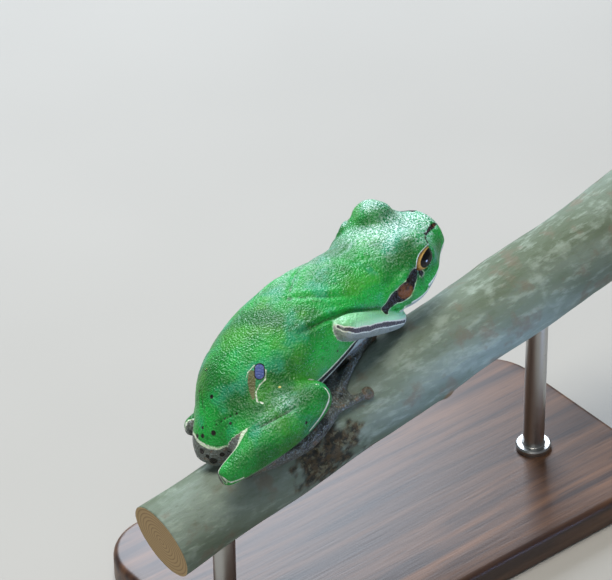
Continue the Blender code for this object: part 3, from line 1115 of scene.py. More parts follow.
LIMBS = (
    Limb(
        "upper_arm_right",
        (Joint((15.8, 2.2, 10.2), 1.8), Joint((12.5, 0.2, 12.8), 1.7), Joint((9.3, -1.9, 15.3), 1.4)),
        (-0.3, -0.3, 0.9),
        100,
    ),
    Limb(
        "forearm_right",
        (Joint((9.3, -1.8, 15.3), 1.5), Joint((13.3, -0.5, 12.4), 1.8), Joint((19.2, 1.4, 8.0), 1.45)),
        (0.15, 0.0, 1.0),
        70,
    ),
    Limb(
        "upper_arm_left",
        (Joint((14.6, 11.2, 12.0), 1.8), Joint((11.6, 12.8, 10.3), 1.7), Joint((8.6, 14.4, 8.6), 1.4)),
        (-0.3, 0.6, 0.8),
        90,
    ),
    Limb(
        "forearm_left",
        (Joint((8.6, 14.4, 8.6), 1.7), Joint((9.0, 12.0, 6.0), 1.95), Joint((9.6, 8.4, 2.2), 1.45)),
        (-0.3, 0.9, 0.2),
        80,
    ),
    Limb(
        "thigh_right",
        (Joint((-9.4, 0.5, 10.4), 2.5), Joint((-4.7, -2.1, 10.9), 3.2), Joint((1.0, -5.2, 11.6), 2.2)),
        (-0.1, -0.3, 1.0),
        100,
    ),
    Limb(
        "shank_right",
        (Joint((1.0, -5.2, 11.6), 2.3), Joint((-5.2, -5.4, 10.4), 2.7), Joint((-14.0, -5.4, 9.2), 1.5)),
        (0.0, -0.75, 0.66),
        82,
    ),
    Limb(
        "thigh_left",
        (Joint((-9.2, 4.6, 9.0), 2.4), Joint((-4.2, 7.6, 8.4), 3.1), Joint((2.0, 10.6, 7.2), 2.2)),
        (-0.1, 0.3, 1.0),
        100,
    ),
    Limb(
        "shank_left",
        (
            Joint((2.0, 10.6, 7.2), 2.2),
            Joint((-3.0, 9.8, 6.7), 2.2),
            Joint((-7.0, 8.7, 5.9), 1.3),
            Joint((-10.1, 8.6, 5.3), 1.2),
        ),
        (0.0, 0.9, 0.4),
        82,
    ),
)

GRASPS = (
    Grasp(
        "hand_right",
        (Joint((19.2, 1.4, 8.0), 1.2),),
        Digit(19.8, 30),
        (Digit(17.2, 74), Digit(19.8, 92), Digit(22.6, 94), Digit(24.6, 84)),
        False,
    ),
    Grasp(
        "hand_left",
        (Joint((9.6, 8.4, 2.2), 1.2),),
        Digit(10.6, 96),
        (Digit(14.2, 80), Digit(16.8, 98), Digit(16.6, 119), Digit(12.6, 136)),
        False,
    ),
    Grasp(
        "foot_right",
        (Joint((-14.0, -5.4, 9.0), 1.2), Joint((-3.0, -5.2, 5.8), 1.3)),
        Digit(3.2, -32),
        (Digit(5.4, 44), Digit(8.6, 56), Digit(12.2, 52), Digit(16.0, 31), Digit(9.4, -37.5)),
        True,
    ),
    Grasp(
        "foot_left",
        (Joint((-10.1, 8.6, 5.2), 1.15), Joint((-5.0, 7.6, 3.0), 1.3)),
        Digit(-2.4, 82),
        (Digit(0.6, 48), Digit(3.8, 56), Digit(6.6, 68), Digit(8.6, 86), Digit(4.0, 110)),
        True,
    ),
)


# The skin


# Markings that the skin stores as distances inside their edges
MARKINGS = ("stripe", "front", "pale", "speck", "yellow", "loop", "olive", "disc", "band")


@dataclass(frozen=True)
class FrogSkinFinish:
    """Moist living skin: leaf green, finely granular, with a wet gloss that breaks up on its granules, and a
    sheen painted into its colour as pale grains and a cool tint on the head's top and the back's ridge.
    """

    leaf: str = "#13a23a"
    deep: str = "#05641b"
    # A random teal tone of the skin, and also the cool tint of a painted sky reflection
    cool: str = "#1f9f80"
    warm: str = "#4aa51e"
    # Pale cyan-white of the painted sheen, laid on the grains where the sheen mask is high
    light: str = "#ddfbf4"
    mint: str = "#b4ecc6"
    pale: str = "#d3e6c8"
    white: str = "#e4eadd"
    band: str = "#4c484e"
    belly: str = "#a9b4ac"
    stripe: str = "#140d0a"
    grey: str = "#50554f"
    grey_pale: str = "#98a6a8"
    # Dark grey of the feet's mottling, also the painted shade in the skin's hollows
    grey_dark_and_shade: str = "#191a15"
    ochre: str = "#7a5631"
    olive: str = "#666a45"
    violet: str = "#4d5f9e"
    drum: str = "#74492a"
    dusk: str = "#6b7080"
    yellow: str = "#c9c06a"

    def make(self) -> bpy.types.Material:
        """Lays out the material.

        Returns:
            The material.
        """
        bench = Bench("moist_granular_frog_skin")
        add, place = bench.add, bench.place
        keys = MARKINGS + ("green", "grey", "mint", "painted_sheen", "drum", "hollow")
        value = {key: add("Attribute", {"attribute_name": key}) for key in keys}
        # The skin's grains are finer in life; they are drawn at about 0.3 mm, so that they show
        ragged = add("TexNoise", {"Vector": place, "Scale": per(0.45), "Detail": 3.0})
        grit = add("TexNoise", {"Vector": place, "Scale": per(0.26), "Detail": 2.0, "Roughness": 0.6})
        mottle = add("TexNoise", {"Vector": place, "Scale": per(1.1), "Detail": 4.0, "Roughness": 0.6})
        broad, teal, lime = (
            add("TexNoise", {"Vector": place, "Scale": per(size), "Detail": detail})
            for size, detail in ((7, 2.0), (4.3, 3.0), (5.9, 3.0))
        )
        rounded = {"feature": "SMOOTH_F1", "Smoothness": 0.35}
        cells = add("TexVoronoi", {**rounded, "Vector": place, "Scale": per(0.3)})

        def edge(key: str, low: float, high: float, shake: float) -> bpy.types.NodeSocket:
            """Makes a mask for a marking, its edge shaken by noise.

            Args:
                key: The marking.
                low: The distance inside its edge where it starts to show, in millimetres.
                high: The distance where it shows in full.
                shake: How far the noise moves the edge.

            Returns:
                The mask.
            """
            moved = add("Math", {"operation": "MULTIPLY_ADD", 0: ragged, 1: shake, 2: value[key]})
            ends = {"From Min": low + shake / 2, "From Max": high + shake / 2}
            return add("MapRange", {**SOFT, "Value": moved, **ends})

        def within(
            mask: bpy.types.NodeSocket,
            cloud: bpy.types.NodeSocket,
            low: float,
            high: float,
            most: float = 1.0,
        ) -> bpy.types.NodeSocket:
            """Cuts a mask down to where a noise has risen too.

            Args:
                mask: The mask.
                cloud: The noise.
                low: Where the noise starts to show.
                high: Where it shows in full.
                most: How much of the mask is then left.

            Returns:
                The smaller mask.
            """
            ends = {"From Min": low, "From Max": high, "To Max": most}
            risen = add("MapRange", {**SOFT, "Value": cloud, **ends})
            return add("Math", {"operation": "MULTIPLY", 0: mask, 1: risen})

        # Painted sheen: pale grains, thickest where the sheen mask is high, stand in for the highlight on the
        # wet skin
        tips = add("Math", {"operation": "MULTIPLY_ADD", 0: value["painted_sheen"], 1: 0.85, 2: 0.03})
        green = bench.lay(
            self.deep,
            (self.leaf, broad, 0.35, 0.65),
            (self.cool, teal, 0.5, 0.68, 0.5),
            (self.warm, lime, 0.52, 0.7, 0.45),
            (self.deep, mottle, 0.46, 0.28, 0.55),
            # Painted reflection: a cool tint laid where the sheen mask is high
            (self.cool, add("Math", {"operation": "MULTIPLY", 0: value["painted_sheen"], 1: 0.45})),
            (self.light, within(tips, grit, 0.42, 0.62)),
            (self.mint, value["mint"]),
        )
        lower = bench.lay(
            self.belly,
            (self.grey, value["grey"]),
            (self.grey_pale, within(value["grey"], grit, 0.48, 0.64, 0.42)),
            (self.grey_dark_and_shade, within(value["grey"], mottle, 0.54, 0.66, 0.8)),
            (self.ochre, within(value["grey"], mottle, 0.42, 0.34, 0.45)),
        )
        stripes = (edge("stripe", -0.06, 0.02, 0.2), edge("front", -0.06, 0.02, 0.35))
        dark = add("Math", {"operation": "MAXIMUM", 0: stripes[0], 1: stripes[1]})
        colour = bench.lay(
            lower,
            (self.pale, edge("green", -0.34, -0.22, 0.15)),
            (green, edge("green", -0.05, 0.08, 0.2)),
            (self.olive, edge("olive", -0.1, 0.1, 0.2)),
            (self.white, edge("band", -0.22, -0.1, 0.12)),
            (bench.lay(self.band, (self.belly, mottle, 0.52, 0.66, 0.4)), edge("band", -0.08, 0.06, 0.25)),
            (self.pale, within(edge("stripe", -0.26, -0.1, 0.1), mottle, 0.3, 0.62, 0.8)),
            (self.white, edge("pale", -0.06, 0.06, 0.1)),
            (bench.lay(self.stripe, (self.dusk, grit, 0.56, 0.68, 0.5)), dark),
            (bench.lay(self.drum, (self.stripe, mottle, 0.44, 0.62, 0.75)), value["drum"]),
            (self.stripe, edge("loop", -0.12, -0.04, 0.1)),
            (self.violet, edge("loop", 0.02, 0.1, 0.1)),
            (self.yellow, edge("yellow", -0.04, 0.04, 0.08)),
            (self.stripe, edge("speck", -0.04, 0.04, 0.08)),
            (self.ochre, add("Math", {"operation": "MULTIPLY", 0: edge("disc", -0.3, -0.05, 0.2), 1: 0.35})),
            (self.grey, edge("disc", 0.1, 0.35, 0.3)),
            # Painted shade: the skin's hollows and creases are darkened as if shadowed
            (self.grey_dark_and_shade, value["hollow"], 0.0, 1.0, 0.6),
        )
        height = add("Math", {"operation": "MULTIPLY_ADD", 0: cells, 1: -1.0, 2: grit})
        bump = add("Bump", {"Strength": 1.0, "Distance": 0.13 * MM, "Height": height})
        wet = add("Math", {"operation": "MULTIPLY_ADD", 0: value["painted_sheen"], 1: 0.5, 2: 0.2})
        wet = add("Math", {"operation": "MULTIPLY_ADD", 0: dark, 1: -0.15, 2: wet})
        flesh = {
            "Subsurface Weight": 0.1, "Subsurface Radius": (0.6, 1.0, 0.4), "Subsurface Scale": 0.35 * MM
        }
        sheen = {"Coat Weight": wet, "Coat Roughness": 0.16, "Coat Normal": bump}
        plain = {"Roughness": 0.36, "Specular IOR Level": 0.24, "Base Color": colour, "Normal": bump}
        return bench.finish({**plain, **flesh, **sheen})


# How much lower the left side of the head carries its markings than the right
LEFT_SAG = 0.35
# What stands for a place that no line of the mouth or no marking is near
NO_MOUTH = 99.0
UNMARKED = -9.0
# How high the pale rim of the upper lip lies over the mouth
LIP_RIM = 0.42
# Where the rump's grey skin begins
RUMP_START = -8.6
# The opening between an eye's lids, in degrees from its middle: fore and aft, up and down
EYE_OPENING = (54.0, 40.0, 43.0)


@dataclass(frozen=True)
class Line:
    """A line on the right side of the frog, and its mirror image on the left.

    Attributes:
        points: Its points, in the branch's frame, or along the head's axes.
        on_head: Whether they are along the head's axes: forward, outwards and up.
    """

    points: tuple[Point, ...]
    on_head: bool = False

    def on(self, side: Side) -> list[Point]:
        """The line's points on one side, in the branch's frame.

        Args:
            side: Which side.

        Returns:
            The points.
        """
        if self.on_head:
            sag = LEFT_SAG if side is Side.LEFT else 0.0
            return [tuple(HEAD.spot(f, side.value * (out + sag), up - sag)) for f, out, up in self.points]
        if side is Side.RIGHT:
            return list(self.points)
        middle = np.array([station.centre[:2] for station in BODY_STATIONS])
        return [(x, 2 * float(np.interp(x, *middle.T)) - y, z) for x, y, z in self.points]


@dataclass(frozen=True)
class Crease(Line):
    """A fold line, with its depth and half width."""

    depth: float = 0.3
    width: float = 0.25


@dataclass(frozen=True)
class Mark(Line):
    """A coloured line.

    Attributes:
        kind: The value that it is stored in.
        halves: Half its width, from its start to its end.
        both: Whether the left side has it too.
    """

    kind: str = "stripe"
    halves: tuple[float, ...] = (0.2,)
    both: bool = True


class Round(NamedTuple):
    """A round feature on the side of the head, along the head's axes."""

    forward: float
    out: float
    up: float
    radius: float

    def middle(self, side: Side) -> Array:
        """Its middle on one side."""
        return HEAD.spot(self.forward, side.value * self.out, self.up)

    def away(self, side: Side, points: Array) -> Array:
        """How far points lie from where it sits on the skin."""
        return away_from(snap(self.middle(side), points), points)


DRUM = Round(-5.1, 7.6, -1.2, 1.12)
NOSTRIL = Round(4.7, 2.0, -0.6, 0.3)
FLANK_STATIONS = (0, 2, 3.5, 6.3, 7.2, 8, 14)
FLANK_DEGREES = (-20, -12, -7, -7, -25, -45, -50)
VENT_LINE = (
    (-6.0, 8.6), (-2.7, 10.6), (-1.0, 9.4), (0.1, 9.5), (1.5, 9.6), (3.1, 9.8), (4.6, 9.1), (7.0, 9.4),
    (9.0, 8.0),
)

CREASES = (
    Crease(
        ((16.4, 0.0, 12.7), (14.2, 0.0, 14.2), (11.8, 0.0, 15.3), (7.9, 0.2, 16.6), (3.9, 0.3, 17.2)),
        depth=0.4,
        width=0.35,
    ),
    Crease(((5.2, 6.0, 18.5), (7.4, 4.2, 18.5), (10.6, 2.1, 17.7), (14.3, 0.9, 16.0)), depth=0.22, width=0.4),
    Crease(((16.0, 4.6, 17.8), (17.8, 4.4, 17.5), (19.7, 3.7, 17.2)), depth=0.1, width=0.3),
    Crease(((-11.0, 0.3, 12.0), (-9.9, -0.4, 12.6), (-8.6, -1.2, 13.2)), depth=0.16, width=0.22),
    Crease(
        ((-6.0, -2.2, 13.9), (-4.0, -3.4, 14.0), (-1.4, -4.2, 14.0), (1.1, -5.1, 13.7)),
        depth=0.12,
        width=0.35,
    ),
    Crease(
        ((-8.4, -4.6, 12.2), (-7.2, -5.1, 12.7), (-4.6, -5.8, 13.2), (-3.3, -6.2, 13.3), (-2.2, -6.7, 13.3)),
        depth=0.3,
        width=0.32,
    ),
    Crease(
        ((-2.3, 5.9, -0.3), (-3.6, 6.5, 0.3), (-5.3, 7.0, 0.5), (-7.2, 7.1, -0.3), (-8.8, 7.0, -1.3)),
        on_head=True,
        depth=-0.2,
        width=0.4,
    ),
)

MARKS = (
    Mark(
        (
            (5.2, 1.8, -0.7), (4.7, 2.0, -0.6), (3.5, 2.4, -0.1), (2.3, 3.3, 0.7), (1.2, 4.5, 1.7),
            (1.0, 5.2, 1.5),
        ),
        on_head=True,
        kind="front",
        halves=(0.18, 0.36, 0.16, 0.26, 0.14, 0.14, 0.14),
    ),
    Mark(
        (
            (-1.5, 6.6, -1.5), (-2.1, 6.6, -1.1), (-2.6, 6.8, -0.8), (-3.2, 7.0, -0.55), (-4.2, 7.4, -0.75),
            (-5.0, 7.7, -1.1), (-5.9, 7.7, -1.35), (-6.8, 7.5, -1.5), (-7.5, 7.4, -1.95), (-8.4, 7.3, -2.4),
        ),
        on_head=True,
        halves=(0.42, 0.5, 0.5, 0.7, 1.06, 0.95, 0.72, 0.66),
    ),
    Mark(((-13.2, 3.6, 9.8), (-13.2, 1.8, 9.6), (-12.9, 0.3, 9.6)), kind="pale", halves=(0.02, 0.1, 0.06)),
    Mark(((-12.9, 0.3, 9.6), (-11.9, -1.1, 9.5), (-11.5, -2.6, 10.8)), kind="pale", halves=(0.1, 0.02, 0.04)),
    Mark(
        (
            (8.4, -1.5, 16.1), (8.7, -2.5, 16.1), (9.4, -3.0, 15.8), (10.2, -3.1, 15.1), (11.3, -2.9, 14.4),
            (12.6, -2.6, 13.5), (13.8, -2.2, 12.7), (15.3, -1.7, 11.6), (16.9, -1.1, 10.3),
            (19.7, 0.1, 8.0),
        ),
        kind="band",
        both=False,
        halves=(0.15, 0.25, 0.32, 0.34, 0.3, 0.28, 0.34, 0.28, 0.22, 0.2),
    ),
    Mark(
        (
            (1.2, -5.5, 13.7), (1.9, -6.3, 13.0), (1.9, -7.0, 12.3), (1.3, -7.5, 11.8), (0.6, -7.7, 11.4),
            (-0.7, -7.9, 10.6), (-2.6, -8.0, 9.9),
        ),
        kind="pale",
        halves=(0.1, 0.16, 0.16),
    ),
    Mark(
        ((-14.8, -4.6, 9.9), (-15.4, -6.0, 9.7), (-14.9, -6.9, 9.2), (-13.1, -7.3, 8.8)),
        kind="pale",
        halves=(0.14,),
    ),
    Mark(((-15.5, -5.2, 9.5), (-15.6, -6.2, 9.2)), halves=(0.08, 0.14), both=False),
    Mark(
        (
            (-3.4, 0.8, 16.4), (-2.8, 0.4, 16.4), (-2.6, -0.5, 15.8), (-3.3, -1.1, 15.1),
            (-4.3, -1.0, 14.9), (-5.2, -1.3, 14.4), (-5.8, -2.1, 13.9), (-5.5, -2.9, 13.8),
        ),
        kind="pale",
        halves=(0.02, 0.06, 0.07, 0.06, 0.08, 0.12),
        both=False,
    ),
    Mark(
        ((-3.4, 0.8, 16.4), (-4.6, 0.8, 16.0), (-5.4, 0.4, 15.5)),
        kind="pale",
        halves=(0.04, 0.05, 0.0),
        both=False,
    ),
    Mark(
        ((-4.2, 0.3, 15.9), (-4.9, -0.3, 15.3), (-5.5, -0.9, 14.6), (-5.9, -1.5, 14.1)),
        kind="olive",
        halves=(0.45, 0.5, 0.4, 0.2),
        both=False,
    ),
    Mark(((-3.2, 0.15, 16.15), (-3.55, -0.4, 15.7)), kind="loop", halves=(0.62, 0.62), both=False),
    Mark(((-1.8, 10.5, 12.5), (-2.8, 10.2, 12.0)), kind="loop", halves=(0.5, 0.52), both=False),
)

# Places where a highlight is painted into the skin's colour, and places kept plain of it, along the head's
# axes: forward, left and up, and their reach; the last two painted ones lie on the right thigh and shank
PAINTED_SHEEN_SPOTS = (
    ((1.9, -3.3, 0.9), 1.5, 1.0), ((0.2, -4.2, 1.8), 1.1, 0.8), ((-0.6, 4.6, 2.4), 1.5, 0.9),
    ((0.5, 0.0, 1.0), 2.6, 0.8), ((-29.2, -12.1, -0.3), 1.6, 0.45), ((-32.0, -12.3, -1.0), 1.4, 0.35),
)
SHEEN_FREE_SPOTS = (((-3.6, -5.2, 1.0), 2.0), ((-9.0, 3.5, 1.5), 2.4))

SPOTS: dict[str, tuple[tuple[Point, float], ...]] = {
    "speck": (
        ((-7.2, 6.3, 14.9), 0.2), ((-9.4, 5.4, 13.3), 0.2), ((-9.3, 2.9, 13.9), 0.3),
        ((-12.1, 1.9, 11.1), 0.22), ((-12.9, 2.4, 10.0), 0.3), ((-12.7, 1.5, 10.4), 0.32),
        ((-11.8, 0.2, 11.0), 0.36), ((-9.8, -1.4, 12.3), 0.22), ((-13.6, 1.1, 8.6), 0.4),
        ((-13.4, 0.1, 8.2), 0.3), ((-13.1, -0.5, 7.5), 0.55), ((-12.1, -1.3, 8.3), 0.35),
        ((-11.3, -1.8, 8.7), 0.25), ((-2.9, -7.9, 11.7), 0.22), ((7.3, -2.3, 13.2), 0.16),
        ((-11.0, 0.3, 12.0), 0.12), ((-10.4, 0.0, 12.3), 0.14), ((-9.9, -0.4, 12.6), 0.16),
        ((-9.3, -0.8, 12.9), 0.14), ((-8.7, -1.2, 13.2), 0.16),
    ),
    "yellow": (((-2.5, -2.8, 14.2), 0.2), ((-7.1, 6.5, 15.0), 0.14)),
}


@dataclass
class Skin:
    """The frog's one seamless skin."""

    perch: Perch
    voxel: float = 0.23
    lid: float = 0.36
    mouth_reach: float = math.radians(122)

    def forms(self) -> list[bpy.types.Object]:
        """Makes every overlapping form that the skin is drawn over.

        Returns:
            The forms.
        """
        made = [BodyLoft(BODY_STATIONS).build(), BodyLoft(BELLY_STATIONS).build(48)]
        for side in Side:
            s = side.value
            eye = HEAD.eye(side)
            made.append(ball(tuple(eye), (HEAD.eye_radius + 0.5,) * 3))
            for (forward, inward, up), radii in BROW_FORMS:
                made.append(ball(tuple(eye + HEAD.aim(forward, -s * inward, up)), radii, HEAD.turn()))
            ridge = ((1.2, 3.8, -1.1), (3.0, 2.6, -1.2), (4.8, 1.6, -1.5))
            line = [tuple(HEAD.spot(forward, s * out, up)) for forward, out, up in ridge]
            made.append(tube(line, [0.9, 0.8, 0.7]))
        made.append(tube([place for place, _ in LAP_JOINTS], [radius for _, radius in LAP_JOINTS]))
        for limb in LIMBS:
            made.append(limb.build())
        for grasp in GRASPS:
            made += grasp.forms(self.perch)
        return made

    def build(self) -> bpy.types.Object:
        """Draws the skin over the forms, works its folds and marks it.

        Returns:
            The finished piece.
        """
        forms = self.forms()
        select_only(*forms)
        bpy.ops.object.join()
        skin = bpy.context.view_layer.objects.active
        skin.name = "frog_skin"
        skin.data.name = "frog_skin"
        apply_modifier(skin, "REMESH", mode="VOXEL", voxel_size=self.voxel, adaptivity=0.0)
        keep_largest(skin)
        apply_modifier(skin, "SMOOTH", factor=0.5, iterations=4)
        self.flesh_out(skin)
        self.refine(skin)
        self.press(skin)
        self.work_mouth(skin)
        self.work_drums(skin)
        self.work_nostrils(skin)
        self.work_creases(skin)
        for side in Side:
            self.work_lids(skin, side)
        skin.data.shade_smooth()
        self.mark(skin)
        skin.data.materials.clear()
        skin.data.materials.append(FrogSkinFinish().make())
        names = ["head", "torso"] + [limb.name for limb in LIMBS] + [grasp.name for grasp in GRASPS]
        return settle(skin, "skin", *names)

    def flesh_out(self, skin: bpy.types.Object) -> None:
        """Fills the hollows where forms meet: wholly on the head and neck, a little between the limbs.

        Args:
            skin: The skin.
        """
        points = read_points(skin)
        head = smoothstep(18.5, 21.0, points[:, 0]) * smoothstep(8.6, 9.6, points[:, 2])
        arm = smoothstep(3.4, 2.4, np.minimum(*(LIMBS[n].outside(points)[0] + 2 for n in (0, 1))))
        fill_hollows(skin, head * (1 - arm), 55)
        lap = smoothstep(2.0, -0.5, points[:, 0]) * smoothstep(-13.5, -11.5, points[:, 0])
        lap *= smoothstep(1.5, -0.5, points[:, 1]) * smoothstep(9.8, 10.8, points[:, 2])
        fill_hollows(skin, lap, 60)
        fill_hollows(skin, np.full(len(points), 0.6), 8)

    def refine(self, skin: bpy.types.Object) -> None:
        """Halves the faces round the eyes and along the mouth, where the finest forms are.

        Args:
            skin: The skin.
        """
        with edited(skin.data) as bm:
            centres = np.array([face.calc_center_median() for face in bm.faces])
            near = np.abs(self.over_mouth(centres) - 0.2) < 0.5
            for side in Side:
                near |= away_from(HEAD.eye(side), centres) < HEAD.eye_radius + 1.1
                for spot in (NOSTRIL, DRUM):
                    near |= away_from(spot.middle(side), centres) < spot.radius + 0.7
            edges = {edge for face, close in zip(bm.faces, near) if close for edge in face.edges}
            bmesh.ops.subdivide_edges(bm, edges=list(edges), cuts=1, use_grid_fill=True, smooth=0.0)
            bmesh.ops.triangulate(bm, faces=[face for face in bm.faces if len(face.verts) > 4])

    def press(self, skin: bpy.types.Object) -> None:
        """Moves what would sink into the bark out onto it.

        Args:
            skin: The skin.
        """
        points = read_points(skin)
        angle = np.arctan2(points[:, 1], points[:, 2])
        reach = np.hypot(points[:, 1], points[:, 2])
        least = self.perch.reach(points[:, 0], angle) + 0.05
        grow = np.where((reach < least) & (reach > 1), least / np.maximum(reach, 0.1), 1.0)
        points[:, 1:] *= grow[:, None]
        write_points(skin, points)

    def over_mouth(self, points: Array) -> Array:
        """How far points on the head lie over the line of the mouth, or a large number elsewhere.

        Args:
            points: The places.

        Returns:
            One height for each place, in millimetres.
        """
        local = HEAD.local(points)
        core = np.array((-2.8, -0.2))
        away = local[:, :2] - core
        turn = np.arctan2(away[:, 1], away[:, 0])
        level = -3.25 - 0.5 * np.abs(np.sin(turn)) ** 3
        over = local[:, 2] - level
        outside = (np.abs(turn) > self.mouth_reach) | (np.abs(over) > 4)
        outside |= (np.hypot(*away.T) > 12) | (local[:, 0] < -7)
        return np.where(outside, NO_MOUTH, over)

    def work_mouth(self, skin: bpy.types.Object) -> None:
        """Sinks the line of the mouth and rounds the lips over and under it.

        Args:
            skin: The skin.
        """
        points = read_points(skin)
        over = self.over_mouth(points)
        push = 0.1 * bell(over, 0.25, LIP_RIM) + 0.07 * bell(over, 0.22, -0.4) - 0.3 * bell(over, 0.13)
        push_out(skin, points, np.where(over < NO_MOUTH, push, 0))

    def around_eye(self, points: Array, side: Side) -> tuple[Array, Array, Array]:
        """Measures points against the opening between an eye's lids.

        Args:
            points: The places.
            side: Which eye.

        Returns:
            How far each lies beyond the opening's edge in millimetres, how high it lies on the eye in
            degrees, and whether it is on the eye's outer half.
        """
        outward = unit(HEAD.aim(0.12, side.value * 0.96, 0.24 if side is Side.RIGHT else 0.08))
        ahead = HEAD.aim(0.8, 0.0, 0.6)
        ahead = unit(ahead - outward * (ahead @ outward))
        rise = np.cross(outward, ahead) * side.value
        rise = rise if rise[2] > 0 else -rise
        ray = unit(points - HEAD.eye(side))
        turn = np.degrees(np.arctan2(ray @ ahead, ray @ outward))
        lift = np.degrees(np.arctan2(ray @ rise, ray @ outward))
        level, up, down = EYE_OPENING
        spread = np.hypot(turn / level, lift / np.where(lift > 0, up, down))
        return (spread - 1) * np.radians(55) * HEAD.eye_radius, lift, ray @ outward > 0

    def work_lids(self, skin: bpy.types.Object, side: Side) -> None:
        """Wraps the lids round an eye and sinks the skin behind it.

        Args:
            skin: The skin.
            side: Which side.
        """
        points = read_points(skin)
        centre = HEAD.eye(side)
        radius = HEAD.eye_radius
        reach = away_from(centre, points)
        beyond, _, outer = self.around_eye(points, side)
        lid = self.lid
        share = np.clip(beyond / lid, 0, 1)
        rim = radius + 0.03 + lid * np.sqrt(1 - (1 - share) ** 2)
        settle_back = smoothstep(lid, lid + 1.0, beyond)
        target = np.where(beyond < 0, radius - 0.3, rim * (1 - settle_back) + reach * settle_back)
        target = np.where(outer & (reach < radius + 2.5), target, reach)
        write_points(skin, centre + unit(points - centre) * target[:, None])

    def work_creases(self, skin: bpy.types.Object) -> None:
        """Presses the fold lines into the skin, on both sides, with a soft roll beside each.

        Args:
            skin: The skin.
        """
        for crease in CREASES:
            for side in Side:
                points = read_points(skin)
                away, along = to_polyline(points, [snap(place, points) for place in crease.on(side)])
                fade = np.sin(math.pi * np.clip(along, 0.03, 0.97)) ** 0.5
                roll = 0.45 * bell(away, crease.width, 2 * crease.width)
                push_out(skin, points, crease.depth * (roll - bell(away, crease.width)) * fade)

    def work_drums(self, skin: bpy.types.Object) -> None:
        """Sinks each eardrum inside a low ring.

        Args:
            skin: The skin.
        """
        for side in Side:
            points = read_points(skin)
            away = DRUM.away(side, points)
            push = 0.12 * bell(away - DRUM.radius, 0.2, 0.1)
            push_out(skin, points, push - 0.16 * smoothstep(DRUM.radius + 0.1, DRUM.radius - 0.3, away))

    def work_nostrils(self, skin: bpy.types.Object) -> None:
        """Sinks the nostrils, each with a raised rim.

        Args:
            skin: The skin.
        """
        for side in Side:
            points = read_points(skin)
            away = NOSTRIL.away(side, points)
            rim = 0.05 * bell(away, NOSTRIL.radius, 2 * NOSTRIL.radius)
            push_out(skin, points, rim - 0.45 * bell(away, NOSTRIL.radius))

    def mark(self, skin: bpy.types.Object) -> None:
        """Stores the skin's markings as distances in millimetres that the material reads.

        Args:
            skin: The skin.
        """
        points = read_points(skin)
        values = {key: np.full(len(points), UNMARKED) for key in MARKINGS}
        values.update({key: np.zeros(len(points)) for key in ("grey", "mint", "drum")})
        # The painted sheen: a mask, from the skin's facing and listed spots, of where pale grains and a cool
        # tint are laid into the colour as a highlight
        values["painted_sheen"] = self.painted_sheen(points, read_normals(skin))
        station, angle, nearest = BodyLoft(BODY_STATIONS).locate(points)
        bound = np.radians(np.interp(station, FLANK_STATIONS, FLANK_DEGREES))
        over = self.over_mouth(points)
        on_body = (angle - bound) * 6.0
        on_head = np.where(over < NO_MOUTH, np.minimum(over - 0.25, on_body + 3), on_body)
        share = smoothstep(-8.0, -5.0, HEAD.local(points)[:, 0])
        green = on_body * (1 - share) + on_head * share
        behind = np.interp(points[:, 1], *zip(*VENT_LINE))
        green = np.where(points[:, 0] < RUMP_START, np.minimum(green, points[:, 2] - behind), green)
        trunk = np.ones(len(points))
        for limb in LIMBS:
            away, _ = limb.outside(points)
            closer = smoothstep(0.15, -0.15, away - nearest)
            of_limb = limb.green(points)
            if limb.name.startswith("thigh"):
                grey_too = np.minimum(of_limb, points[:, 2] - behind)
                of_limb = np.where(points[:, 0] < RUMP_START, grey_too, of_limb)
            green = green * (1 - closer) + of_limb * closer
            trunk *= 1 - closer
            if limb.name.startswith("forearm"):
                rim = smoothstep(0.9, 0.2, of_limb) + smoothstep(1.7, 2.3, of_limb)
                values["mint"] = np.maximum(values["mint"], closer * np.clip(0.5 + rim * 0.5, 0, 1))
                values["grey"] = np.maximum(values["grey"], 0.4 * closer)
            nearest = np.minimum(nearest, away)
        for grasp in GRASPS:
            away = self.beyond_grasp(grasp, points)
            closer = smoothstep(0.3, -0.3, away - nearest)
            green = green * (1 - closer) - 2.0 * closer
            trunk *= 1 - closer
            values["grey"] = np.maximum(values["grey"], closer)
        values["grey"] = np.maximum(values["grey"], smoothstep(-8.2, -8.8, points[:, 0]) * (green < 0) * 0.9)
        flank = (station > 3.2) & (station < 7.0) & (trunk > 0.5)
        values["stripe"] = np.where(flank, 0.5 - np.abs(green + 0.8), values["stripe"])
        values["green"] = green
        for mark in MARKS:
            for side in Side if mark.both else (Side.RIGHT,):
                away, along = to_polyline(points, [snap(place, points) for place in mark.on(side)])
                half = np.interp(along, np.linspace(0, 1, len(mark.halves)), mark.halves)
                values[mark.kind] = np.maximum(values[mark.kind], half - away)
        for kind, spots in SPOTS.items():
            for place, radius in spots:
                values[kind] = np.maximum(values[kind], radius - away_from(snap(place, points), points))
        for side in Side:
            drum = smoothstep(DRUM.radius + 0.04, DRUM.radius - 0.16, DRUM.away(side, points))
            # Painted shade: the nostril's pit takes the eardrum's dark colour, standing in for the shade
            # inside the opening
            pit = 0.8 * smoothstep(0.24, 0.1, NOSTRIL.away(side, points))
            values["drum"] = np.maximum(values["drum"], np.maximum(drum, pit))
            beyond, lift, outer = self.around_eye(points, side)
            near = outer & (away_from(HEAD.eye(side), points) < HEAD.eye_radius + 1)
            # Painted highlight: a pale line along the upper lid's edge, where light catches it
            on_edge = 0.1 * smoothstep(0, 15, lift) - np.abs(beyond - 0.16) - 0.02
            values["pale"] = np.where(near, np.maximum(values["pale"], on_edge), values["pale"])
